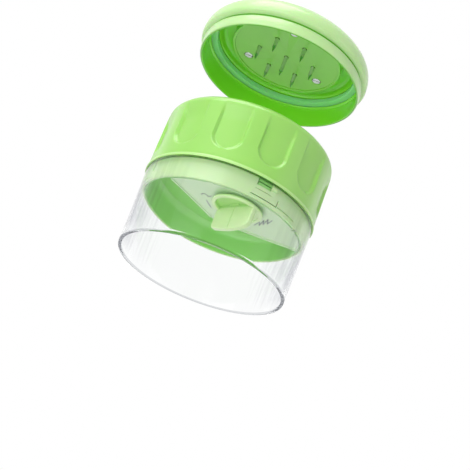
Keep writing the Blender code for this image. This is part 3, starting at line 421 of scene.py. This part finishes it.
# Collar. A short moulded ring of pale green polypropylene between the drum and the guard. Three
# windows take the floor's snap hooks, and a level slit that turns up at its end frees the spring
# tongue under each window.
def bar(name, low, high, matrix=None):
    """A squared block between two corners, moved by a matrix if one is given."""
    bm = bmesh.new()
    bmesh.ops.create_cube(bm, size=1.0)
    low, high = Vector(low) * MM, Vector(high) * MM
    bmesh.ops.scale(bm, vec=high - low, verts=bm.verts)
    bmesh.ops.translate(bm, vec=(low + high) / 2, verts=bm.verts)
    if matrix:
        bmesh.ops.transform(bm, matrix=matrix, verts=bm.verts)
    return shaped(name, bm)


def swept(name, outline, start, end, steps):
    """Sweeps a closed outline round the axis from one angle to another."""
    bm = bmesh.new()
    face = bm.faces.new([bm.verts.new((radius * MM, 0.0, height * MM)) for radius, height in outline])
    bmesh.ops.rotate(bm, cent=(0, 0, 0), verts=bm.verts,
                     matrix=Matrix.Rotation(math.radians(start), 3, "Z"))
    bmesh.ops.spin(bm, geom=[face, *face.edges, *face.verts], cent=(0, 0, 0), axis=(0, 0, 1),
                   dvec=(0, 0, 0), angle=math.radians(end - start), steps=steps)
    bmesh.ops.recalc_face_normals(bm, faces=bm.faces)
    return shaped(name, bm)


def join(piece, tools, operation="DIFFERENCE"):
    """Cuts tools out of a piece, or joins them to it, and clears them away."""
    for tool in tools:
        step = piece.modifiers.new(operation.title(), "BOOLEAN")
        step.operation = operation
        step.solver = "EXACT"
        step.object = tool
    bpy.context.view_layer.update()
    ready = piece.evaluated_get(bpy.context.evaluated_depsgraph_get())
    mesh = bpy.data.meshes.new_from_object(ready)
    piece.modifiers.clear()
    piece.data = mesh
    for tool in tools:
        bpy.data.objects.remove(tool)


def around(degrees):
    """A turn about the tool's axis."""
    return Matrix.Rotation(math.radians(degrees), 4, "Z")


COLLAR_LOW = 31.1
COLLAR_TOP = 41.7
COLLAR_GAP = 0.7
COLLAR_WALL = 1.8
CUT_IN = 39.9
CUT_OUT = 47.0
WINDOWS = [289.5 + number * 120.0 for number in range(3)]
TABS = (255.0, 327.0)


def tab_notches():
    """Cutters for the two notches that the cover plate's tabs snap into."""
    return [bar("notch", (CUT_IN, -1.9, 29.7), (42.9, 1.9, 34.2), around(angle)) for angle in TABS]


collar_foot = guard_radius(COLLAR_LOW) - GUARD_WALL - COLLAR_GAP
collar_head = guard_radius(COLLAR_TOP) - GUARD_WALL - COLLAR_GAP
COLLAR_BORE = collar_foot - COLLAR_WALL
COLLAR_INSIDE = COLLAR_BORE + 0.65
collar = turned("snap_collar", [
    (collar_head - 0.1, 42.35), (collar_head, 42.2), (collar_foot, COLLAR_LOW + 0.6),
    (collar_foot - 0.1, COLLAR_LOW + 0.25), (collar_foot - 0.3, COLLAR_LOW + 0.05),
    (collar_foot - 0.55, COLLAR_LOW), (COLLAR_INSIDE + 0.3, COLLAR_LOW),
    (COLLAR_INSIDE + 0.08, COLLAR_LOW + 0.08), (COLLAR_INSIDE, COLLAR_LOW + 0.3),
    (COLLAR_INSIDE, COLLAR_LOW + 5.5), (COLLAR_BORE, COLLAR_LOW + 5.8), (COLLAR_BORE, 42.35)], 240)
openings = []
for middle in WINDOWS:
    openings.append(bar("hook_pocket", (CUT_IN, -4.15, 36.45), (42.65, 4.15, 43.0), around(middle)))
    openings.append(bar("window_line", (43.2, -4.8, 36.45), (CUT_OUT, 5.0, 36.8), around(middle)))
    openings.append(bar("window", (41.8, -4.6, 38.6), (CUT_OUT, 3.4, 43.0), around(middle)))
    openings.append(swept("rim_line", [(43.0, 33.0), (CUT_OUT, 33.0), (CUT_OUT, 33.7), (43.0, 33.7)],
                          middle + 13.0, middle + 30.0, 20))
    slit = swept("slit", [(CUT_IN, 32.8), (CUT_OUT, 32.8), (CUT_OUT, 33.35), (CUT_IN, 33.35)],
                 middle - 8.0, middle + 12.0, 8)
    rise = bar("rise", (CUT_IN, -0.3, 33.1), (CUT_OUT, 0.3, 36.6), around(middle + 12.0))
    join(slit, [rise], "UNION")
    openings.append(slit)
openings.append(bar("seam", (CUT_IN, -0.8, 36.6), (CUT_OUT, 0.8, 43.0), around(203.0)))
join(collar, openings + tab_notches())
join(collar, [bar("latch_block", (43.0, 3.3, 39.4), (44.35, 6.2, 41.2), around(middle))
              for middle in WINDOWS], "UNION")
pale_shell = moulded("pale green polypropylene, moulded", "#D2EEB4", "#CAEAA9", 0.33, 0.4, 1.6)
fit(collar, "drum", pale_shell, ["collar"])


# Cutting floor. One green moulding that carries the steel: a helical ramp that leads round to
# the blade, a core, the mouth under the blade, a skirt that snaps into the collar, two guide
# posts for the comb, and a bearing ring for the selector's hub.
def cad_copy(name, node, edge):
    """A merged copy of a CAD solid, with its flats cleaned and its edges rounded."""
    bm = bmesh.new()
    bm.from_mesh(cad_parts[node].data)
    bmesh.ops.remove_doubles(bm, verts=bm.verts, dist=WELD)
    bmesh.ops.dissolve_limit(bm, angle_limit=math.radians(0.4), verts=bm.verts, edges=bm.edges)
    piece = shaped(name, bm)
    if edge:
        rounding = piece.modifiers.new("Rounded edges", "BEVEL")
        rounding.width = edge * MM
        rounding.segments = 2
        rounding.limit_method = "ANGLE"
        rounding.angle_limit = math.radians(35.0)
    return piece


ramp_floor = cad_copy("ramp_floor", "cutting_floor", 0.0)
plain_skirt = turned("plain_skirt", [(39.9, 45.26), (46.5, 45.26), (46.5, 36.0), (39.9, 36.0)], 240)
join(ramp_floor, [plain_skirt])
skirt = turned("skirt", [
    (COLLAR_BORE - 0.3, 46.1), (COLLAR_BORE - 0.3, 36.9), (COLLAR_INSIDE - 0.25, 36.3),
    (COLLAR_INSIDE - 0.25, COLLAR_LOW + 0.35), (COLLAR_INSIDE - 0.35, COLLAR_LOW + 0.22),
    (COLLAR_BORE + 0.1, COLLAR_LOW + 0.22), (COLLAR_BORE - 0.05, COLLAR_LOW + 0.4),
    (COLLAR_BORE - 0.2, 33.0), (COLLAR_BORE - 1.0, 40.0), (COLLAR_BORE - 1.7, 46.1)], 240)
hooks = []
for middle in WINDOWS:
    hooks.append(bar("snap_hook", (41.25, -4.0, 36.6), (42.45, 4.0, 40.2), around(middle)))
    hooks.append(bar("hook_nose", (42.3, -3.95, 38.75), (43.15, 3.2, 40.25), around(middle)))
    hooks.append(bar("hook_stop", (41.25, -3.95, 41.1), (43.15, 3.2, 42.3), around(middle)))
join(ramp_floor, [skirt, *hooks], "UNION")
join(ramp_floor, tab_notches())
floor_green = moulded("green polypropylene, floor", "#9CE378", "#94DC6F", 0.33, 0.15, 0.8)
fit(ramp_floor, "drum", floor_green, ["cutting_floor"], 25.0)


# Flat blade, its rivets and the centre pin. Hard stainless strip, ground along its length: the
# grinding lines run along the edge, drawn 0.25 mm apart, ten times as coarse as real ones.
def ground_steel(name, turn, lines, roughness):
    """Stainless steel with grinding lines along one direction in the plane of the floor."""
    material, tree, place, shader = finish_of(name, {
        "Base Color": linear("#CFD2D3"), "Metallic": 1.0, "Anisotropic": 0.5})
    along = add_node(tree, "ShaderNodeMapping", None,
                     {"Vector": place, "Rotation": (0.0, 0.0, -math.radians(turn))})
    thin = add_node(tree, "ShaderNodeMapping", None, {"Vector": along.outputs[0], "Scale": lines})
    streaks = add_node(tree, "ShaderNodeTexNoise", None,
                       {"Vector": thin.outputs[0], "Scale": 1.0, "Detail": 4.0}).outputs[0]
    rough = add_node(tree, "ShaderNodeMapRange", None,
                     {"Value": streaks, "To Min": roughness - 0.08, "To Max": roughness + 0.1})
    tree.links.new(rough.outputs[0], shader.inputs["Roughness"])
    ground = add_node(tree, "ShaderNodeBump", None,
                      {"Height": streaks, "Strength": 0.12, "Distance": 0.00005})
    tree.links.new(ground.outputs[0], shader.inputs["Normal"])
    return material


BLADE_LINE = 218.0
strip_steel = ground_steel("stainless strip, ground", BLADE_LINE, (60.0, 4000.0, 4000.0), 0.24)
turned_steel = ground_steel("stainless wire, turned", 0.0, (300.0, 300.0, 4000.0), 0.2)

blade = cad_copy("ground_blade", "flat_blade", 0.05)
fit(blade, "drum", strip_steel, ["flat_blade"])
for number in (1, 2):
    low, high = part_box("blade_rivet_%d" % number)
    rivet = turned("rivet_head_%d" % number, [
        (0.0, low.z / MM), (1.15, low.z / MM), (1.2, low.z / MM + 0.1), (1.2, high.z / MM - 0.15),
        (1.05, high.z / MM), (0.35, high.z / MM), (0.0, high.z / MM - 0.12)], 40)
    rivet.data.transform(Matrix.Translation(((low.x + high.x) / 2, (low.y + high.y) / 2, 0.0)))
    fit(rivet, "drum", turned_steel, ["blade_rivet_%d" % number])


def aside(x, y):
    """A move away from the axis, in millimetres."""
    return Matrix.Translation((x * MM, y * MM, 0.0))


def pin(name, radius, seat, tip, point, place=(0.0, 0.0)):
    """A round steel pin between its seat and its tip, with a slim ground point."""
    step = 1.0 if tip > seat else -1.0
    shank = tip - step * point
    piece = turned(name, [(0.0, seat), (radius - 0.1, seat), (radius, seat + step * 0.1),
                          (radius, shank - step * 0.3), (radius * 0.96, shank),
                          (radius * 0.1, tip - step * 0.06), (0.0, tip)], 40)
    piece.data.transform(aside(*place))
    return piece


centring_pin = pin("centring_pin", radius=1.3, seat=47.5, tip=58.0, point=2.6)
fit(centring_pin, "drum", turned_steel, ["centre_pin"])


# Cover plate. A thin pale sector that closes half of the chamber's mouth and carries the knob.
# A rib stiffens each straight edge, and two tabs snap into the collar. It is a satin moulding.
pale_satin = moulded("pale green polypropylene, satin", "#D2EDC2", "#CAE7B8", 0.42, 0.15, 1.6)
PLATE_RADIUS = COLLAR_BORE - 0.3
PLATE_LOW = 31.1
PLATE_TOP = 32.5
knob_low, knob_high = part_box("selector_knob")
hub_low, hub_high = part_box("hub_screw")
at_knob = aside((hub_low.x + hub_high.x) / 2 / MM, (hub_low.y + hub_high.y) / 2 / MM)


def rod(name, radius, top, foot, steps):
    """A plain round rod on the axis."""
    return turned(name, [(0.0, top), (radius, top), (radius, foot), (0.0, foot)], steps)


plate = turned("chamber_plate", [(0.0, PLATE_TOP), (PLATE_RADIUS, PLATE_TOP),
                                 (PLATE_RADIUS, PLATE_LOW + 0.15), (PLATE_RADIUS - 0.15, PLATE_LOW),
                                 (0.0, PLATE_LOW)], 240)
rib_reach = PLATE_RADIUS - 1.9
left_edge = around(49.0)
stays = [bar("right_rib", (1.2, -1.4, 32.0), (rib_reach, -0.2, 35.1)),
         bar("left_rib", (-rib_reach, 1.4, 32.0), (-1.2, 2.6, 35.1), left_edge),
         bar("right_lip", (0.6, 0.3, PLATE_LOW - 0.6), (PLATE_RADIUS - 0.1, 1.0, 32.0)),
         bar("left_lip", (0.1 - PLATE_RADIUS, 3.1, PLATE_LOW - 0.6), (-5.0, 3.8, 32.0), left_edge)]
tabs = [bar("tab", (40.0, -1.6, PLATE_LOW), (PLATE_RADIUS + 0.9, 1.6, PLATE_TOP), around(angle))
        for angle in TABS]
join(plate, stays + tabs, "UNION")
stem_hole = rod("stem_hole", 4.8, 37.0, 29.0, 48)
stem_hole.data.transform(at_knob)
vent = rod("vent", 0.85, 34.0, 29.0, 24)
vent.data.transform(around(327.3) @ aside(41.6, 0.0))
join(plate, [vent, bar("beyond_right", (-130.0, 1.0, 29.0), (130.0, 130.0, 40.0)),
             bar("beyond_left", (-130.0, 3.8, 29.0), (130.0, 130.0, 40.0), left_edge), stem_hole])
fit(plate, "drum", pale_satin, ["cover_plate"])


# Printed marks on the plate. Grey pad-printed signs, matt and finely speckled, stand for the
# knob's two ends of travel: a line with a curl on the left, and a waved band on the right.
print_grey, tree, place, shader = finish_of("grey printing ink", {"Roughness": 0.5})
speckle = add_node(tree, "ShaderNodeTexNoise", None, {"Vector": place, "Scale": 2500.0})
ink = mixed(tree, speckle.outputs[0], "#87948F", "#94A29A")
tree.links.new(ink, shader.inputs["Base Color"])
INK_THICKNESS = 0.08


def printed_line(bm, points, width):
    """Adds one flat inked line on the plate's underside."""
    for start, end in zip(points, points[1:]):
        start, end = Vector((*start, 0.0)), Vector((*end, 0.0))
        run = end - start
        made = bmesh.ops.create_cube(bm, size=1.0)["verts"]
        bmesh.ops.scale(bm, vec=(run.length + width * 0.8, width, INK_THICKNESS), verts=made)
        bmesh.ops.rotate(bm, cent=(0, 0, 0), verts=made,
                         matrix=Matrix.Rotation(math.atan2(run.y, run.x), 3, "Z"))
        bmesh.ops.translate(bm, vec=(start + end) / 2 + Vector((0, 0, PLATE_LOW - 0.02)), verts=made)


bm = bmesh.new()
printed_line(bm, [(-10.2, -18.6), (-9.4, -16.4), (-7.1, -11.9)], 0.55)
printed_line(bm, [(-13.6, -23.0), (-13.0, -25.0), (-12.0, -25.7), (-11.0, -25.0), (-10.2, -23.8),
                  (-9.4, -24.2), (-8.9, -25.6)], 0.55)
printed_line(bm, [(16.6, -11.0), (18.2, -17.6), (18.8, -12.8), (19.9, -20.8), (20.4, -15.6),
                  (21.7, -24.0), (22.2, -18.6), (23.7, -24.8)], 0.5)
bmesh.ops.scale(bm, vec=(MM, MM, MM), verts=bm.verts)
marks = shaped("printed_marks", bm)
fit(marks, "drum", print_grey)


# Selector knob. One pale green moulding: a dish with a rolled rim, deeper on one side of a thin
# grip fin than on the other, and a stem through the plate with a squared end for the hub.
knob_green = moulded("pale green polypropylene, glossy", "#DAF5B6", "#D2F1AA", 0.3, 0.15, 1.0)
KNOB_RADIUS = (knob_high.x - knob_low.x) / 2 / MM
KNOB_FACE = 27.8
KNOB_BOTTOM = KNOB_FACE + 2.1
FAR_FLOOR = KNOB_FACE + 0.5
# Painted shade: the dish floor, from 0.4 mm above the face upward, is painted a deeper green, as shade
# from the rim and fin.
painted_dish_shade = by_height(knob_green.node_tree, KNOB_FACE + 0.4, KNOB_FACE + 1.2)
recolour(knob_green, painted_dish_shade, "#B4E488")

dish = turned("knob_dish", [
    (0.0, PLATE_TOP), (4.26, PLATE_TOP), (4.26, 30.8), (KNOB_RADIUS - 2.6, 30.8),
    (KNOB_RADIUS - 2.2, 29.9), (KNOB_RADIUS - 0.7, 29.5), (KNOB_RADIUS - 0.2, 29.3),
    (KNOB_RADIUS, 29.0), (KNOB_RADIUS, KNOB_FACE + 0.5), (KNOB_RADIUS - 0.2, KNOB_FACE + 0.15),
    (KNOB_RADIUS - 0.6, KNOB_FACE), (KNOB_RADIUS - 1.5, KNOB_FACE),
    (KNOB_RADIUS - 1.9, KNOB_FACE + 0.15), (KNOB_RADIUS - 2.1, KNOB_FACE + 0.7),
    (KNOB_RADIUS - 2.2, KNOB_FACE + 1.8), (KNOB_RADIUS - 2.6, KNOB_BOTTOM), (0.0, KNOB_BOTTOM)], 120)
dish.data.transform(at_knob)
FIN_TURN = 130.0
far_floor = rod("far_floor", KNOB_RADIUS - 1.8, FAR_FLOOR, 30.3, 96)
join(far_floor, [bar("near_half", (-20.0, -0.6, 20.0), (20.0, 20.0, 40.0), around(FIN_TURN))])
far_floor.data.transform(at_knob)
join(dish, [far_floor], "UNION")

FIN_TIP = knob_low.z / MM
FIN_HALF = 1.5
BULGE = 1.05
half = KNOB_RADIUS - 0.3
side_low = FIN_TIP + 0.9
bm = bmesh.new()
profile = [(half - 1.8, 30.5), (half - 1.8, 28.4), (half, 28.2)]
profile += rounded((half - 2.4, side_low + 2.4), 2.4, 0, -72, 8)
profile += [(5.0, FIN_TIP + 0.25), (0.0, FIN_TIP), (-5.0, FIN_TIP + 0.25)]
profile += rounded((-half + 4.2, side_low + 4.2), 4.2, -108, -180, 8)
profile += [(-half, 28.2), (1.8 - half, 28.4), (1.8 - half, 30.5), (0.0, 30.5)]
face = bm.faces.new([bm.verts.new((x * MM, 0.0, z * MM)) for x, z in profile])
grown = bmesh.ops.extrude_face_region(bm, geom=[face])["geom"]
moved = [item for item in grown if isinstance(item, bmesh.types.BMVert)]
bmesh.ops.translate(bm, vec=(0.0, 2 * FIN_HALF * MM, 0.0), verts=moved)
bmesh.ops.translate(bm, vec=(0.0, -FIN_HALF * MM, 0.0), verts=bm.verts)
for side in (-FIN_HALF, FIN_HALF):
    middle = [vertex for vertex in bm.verts
              if abs(vertex.co.x) < 0.00001 and abs(vertex.co.y - side * MM) < 0.00001]
    bmesh.ops.connect_verts(bm, verts=middle)
    for vertex in middle:
        vertex.co.y *= BULGE
bmesh.ops.recalc_face_normals(bm, faces=bm.faces)
long_edges = [edge for edge in bm.edges if edge.calc_face_angle(0.0) > 1.2]
bmesh.ops.bevel(bm, geom=long_edges, offset=0.6 * MM, offset_type="OFFSET", segments=4, profile=0.5,
                affect="EDGES", clamp_overlap=True, material=-1)
at_fin = at_knob @ around(FIN_TURN)
bmesh.ops.transform(bm, matrix=at_fin, verts=bm.verts)
fin = shaped("grip_fin", bm)
join(fin, [bar("grip_line", (-0.35, 1.35, 15.0), (0.35, 3.0, 28.9), at_fin),
           bar("grip_line", (-0.35, -3.0, 15.0), (0.35, -1.35, 28.9), at_fin)])
stem = bar("squared_stem", (-2.8, -2.8, 29.4), (2.8, 2.8, 40.0), at_fin)
join(dish, [fin, stem], "UNION")
screw_hole = rod("stem_screw_hole", 1.5, 41.0, 34.4, 32)
screw_hole.data.transform(at_knob)
join(dish, [screw_hole])
fit(dish, "selector", knob_green, ["selector_knob"], 24.0)


# Cam hub and its screw. White acetal, which slides without grease. The hub sits on the squared
# stem, and the helical rib round it raises or lowers the comb as the knob turns.
acetal = moulded("natural acetal, moulded", "#E6E8E0", "#DDDFD6", 0.38, 0.2, 1.0)
cam = cad_copy("cam_hub_rib", "cam_hub", 0.08)
fit(cam, "selector", acetal, ["cam_hub"], 30.0)
screw = cad_copy("hub_fixing_screw", "hub_screw", 0.06)
fit(screw, "selector", turned_steel, ["hub_screw"], 30.0)


# Comb carrier and comb. The acetal carrier slides on the floor's two posts, driven by its fork.
# Six stainless teeth stand on its bar, just before the blade.
carrier = cad_copy("comb_slide", "comb_carrier", 0.1)
fit(carrier, "comb", acetal, ["comb_carrier"], 30.0)
comb = cad_copy("toothed_comb", "comb_blade", 0.0)
fit(comb, "comb", strip_steel, ["comb_blade"], 30.0)


# Slip ring. A blue-green polypropylene ring in the cap, held by a snap bead. It rests on the
# drum's shoulder when the tool is closed, and stays still while the cap turns over it.
cap_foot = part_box("cap_shell")[0].z / MM
ring_low, ring_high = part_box("slip_ring")
ring_radius = ring_high.x / MM
ring_foot = ring_low.z / MM
ring_top = ring_high.z / MM
slip_green = moulded("blue-green polypropylene, moulded", "#A6F2AC", "#9CEAA2", 0.3, 0.5, 2.0)
ring = turned("slip_ring_band", [
    (ring_radius - 0.15, ring_top), (ring_radius, ring_top - 0.15), (ring_radius, ring_foot + 0.15),
    (ring_radius - 0.15, ring_foot), (ring_radius - 3.7, ring_foot),
    (ring_radius - 4.0, ring_foot + 0.12), (ring_radius - 4.1, ring_foot + 0.4),
    (ring_radius - 4.1, ring_top - 0.2), (ring_radius - 3.9, ring_top)], 240)
fit(ring, "cap_slide", slip_green, ["slip_ring"])


# Cap. A domed shell of light green polypropylene. The palm pushes it down and turns it. It has a
# low skirt, a groove round it and a full rounded side. Inside are three bosses for screws and a
# bead that holds the slip ring.
SKIRT = 46.6
CAP_INNER = 44.8
DOME = 48.6
SIDE_CURVE = 0.62
CROWN_CURVE = 0.82
DOME_STEPS = 40
SCREW_CIRCLE = 24.0
groove = cap_foot + 6.4
wide = groove + 3.5
crown = cap_foot + 25.2
ceiling = cap_foot + 21.4
outline = [(0.0, crown)]
for step in range(1, DOME_STEPS + 1):
    turn = math.radians(90.0 - 90.0 * step / DOME_STEPS)
    outline.append((DOME * math.cos(turn) ** SIDE_CURVE,
                    wide + (crown - wide) * math.sin(turn) ** CROWN_CURVE))
outline += [(DOME - 0.05, wide - 0.7), (DOME - 0.3, wide - 1.4), (DOME - 0.9, groove + 1.5),
            (SKIRT - 0.5, groove + 1.15), (SKIRT - 1.25, groove + 0.7), (SKIRT - 1.3, groove + 0.1),
            (SKIRT - 1.0, groove - 0.3), (SKIRT - 0.15, groove - 0.45), (SKIRT, groove - 0.8),
            (SKIRT - 0.2, cap_foot + 1.2), (SKIRT - 0.35, cap_foot + 0.5), (SKIRT - 0.7, cap_foot + 0.1),
            (SKIRT - 1.1, cap_foot), (CAP_INNER + 0.3, cap_foot + 0.05), (CAP_INNER, cap_foot + 0.4)]
bead = cap_foot + 13.0
outline += [(CAP_INNER, bead - 1.35), (CAP_INNER - 0.6, bead - 0.8), (CAP_INNER - 0.9, bead - 0.4),
            (CAP_INNER - 0.9, bead - 0.1), (CAP_INNER - 0.7, bead), (CAP_INNER, bead + 0.15),
            (CAP_INNER, ring_top + 0.3), (ring_radius - 4.4, ring_top + 0.3),
            (ring_radius - 5.2, ceiling - 4.0), (ring_radius - 5.5, ceiling - 2.6),
            (ring_radius - 6.4, ceiling - 1.6), (36.0, ceiling - 1.0), (0.0, ceiling)]
cap = turned("domed_cap", outline, 240)
holder_low, holder_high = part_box("prong_holder")
holder_back = holder_high.z / MM
bosses = []
holes = []
screw_places = []
for number in range(3):
    turn = math.radians(30.0 + 120.0 * number)
    place = aside(SCREW_CIRCLE * math.cos(turn), SCREW_CIRCLE * math.sin(turn))
    screw_places.append(place)
    boss = turned("boss", [(0.0, ceiling + 0.6), (3.6, ceiling + 0.6), (3.6, holder_back + 0.4),
                           (3.5, holder_back + 0.3), (0.0, holder_back + 0.3)], 40)
    hole = rod("hole", 1.5, ceiling - 0.3, holder_back, 32)
    boss.data.transform(place)
    hole.data.transform(place)
    bosses.append(boss)
    holes.append(hole)
join(cap, bosses, "UNION")
join(cap, holes)
cap_green = moulded("light green polypropylene, moulded", "#C1E6A2", "#B8E096", 0.3, 0.35, 1.6)

# Every face that looks in toward the middle of the cap's foot is painted a deeper green, as a painted
# glow for the light that comes through the thin wall, and the thin groove is painted dark as painted
# shade.
tree = cap_green.node_tree
surface = add_node(tree, "ShaderNodeTexCoord").outputs
from_middle = add_node(tree, "ShaderNodeVectorMath", {"operation": "SUBTRACT"},
                       {0: surface["Object"], 1: (0.0, 0.0, cap_foot * MM)}).outputs[0]
away = add_node(tree, "ShaderNodeVectorMath", {"operation": "DOT_PRODUCT"},
                {0: surface["Normal"], 1: from_middle}).outputs["Value"]
flat = add_node(tree, "ShaderNodeVectorMath", {"operation": "MULTIPLY"},
                {0: from_middle, 1: (1.0, 1.0, 0.0)}).outputs[0]
radius = add_node(tree, "ShaderNodeVectorMath", {"operation": "LENGTH"}, {0: flat}).outputs["Value"]
height = add_node(tree, "ShaderNodeSeparateXYZ", None, {0: from_middle}).outputs["Z"]
groove_shade_height = maths(tree, "LESS_THAN", height, (groove - cap_foot + 1.0) * MM)
thin = share_of(tree, radius, (SKIRT - 0.4) * MM, (SKIRT - 0.9) * MM)
# Painted shade: the thin groove round the skirt is painted a dark green.
recolour(cap_green, maths(tree, "MULTIPLY", thin, groove_shade_height), "#6FBE3A")
# Painted glow: faces that look in toward the middle of the cap are painted a deeper, saturated green.
recolour(cap_green, share_of(tree, away, -0.002, -0.015), "#8FF030")
fit(cap, "cap", cap_green, ["cap_shell"])


# Prong holder. A green disc on three screws under the cap's ceiling. Its edge stands down as a
# fine rim, and seven steel prongs are pressed into it to hold and turn what is cut.
PRONG_CIRCLE = 16.0
holder_rim = holder_low.z / MM
holder_face = holder_rim + 0.8
holder = turned("prong_disc", [
    (0.0, holder_back), (31.6, holder_back), (31.8, holder_back - 0.2), (31.8, holder_rim + 0.25),
    (31.7, holder_rim + 0.07), (31.5, holder_rim), (30.5, holder_rim), (30.3, holder_rim + 0.07),
    (30.2, holder_rim + 0.25), (30.2, holder_face - 0.1), (30.0, holder_face), (0.0, holder_face)], 180)
seats = []
prong_places = [(0.0, 0.0)]
for number in range(6):
    turn = math.radians(60.0 * number)
    prong_places.append((PRONG_CIRCLE * math.cos(turn), PRONG_CIRCLE * math.sin(turn)))
for place in prong_places:
    seat = rod("seat", 1.4, holder_face + 1.8, holder_rim - 1.0, 32)
    seat.data.transform(aside(*place))
    seats.append(seat)
for place in screw_places:
    seat = turned("seat", [(0.0, holder_back + 1.0), (1.5, holder_back + 1.0), (1.5, holder_face + 1.7),
                           (2.7, holder_face + 1.7), (2.7, holder_rim - 1.0), (0.0, holder_rim - 1.0)], 40)
    seat.data.transform(place)
    seats.append(seat)
join(holder, seats)
disc_green = moulded("green polypropylene, prong disc", "#93E14E", "#8BD948", 0.33, 0.3, 1.2)
fit(holder, "cap", disc_green, ["prong_holder"])
for number, place in enumerate(prong_places):
    node = "prong_%d" % number if number else "centre_prong"
    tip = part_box(node)[0].z / MM
    prong = pin("steel_" + node, 1.1, holder_face + 1.5, tip, 3.3, place)
    fit(prong, "cap", turned_steel, [node])
for number in (1, 2, 3):
    head = cad_copy("fixing_screw_%d" % number, "holder_screw_%d" % number, 0.06)
    fit(head, "cap", turned_steel, ["holder_screw_%d" % number], 30.0)
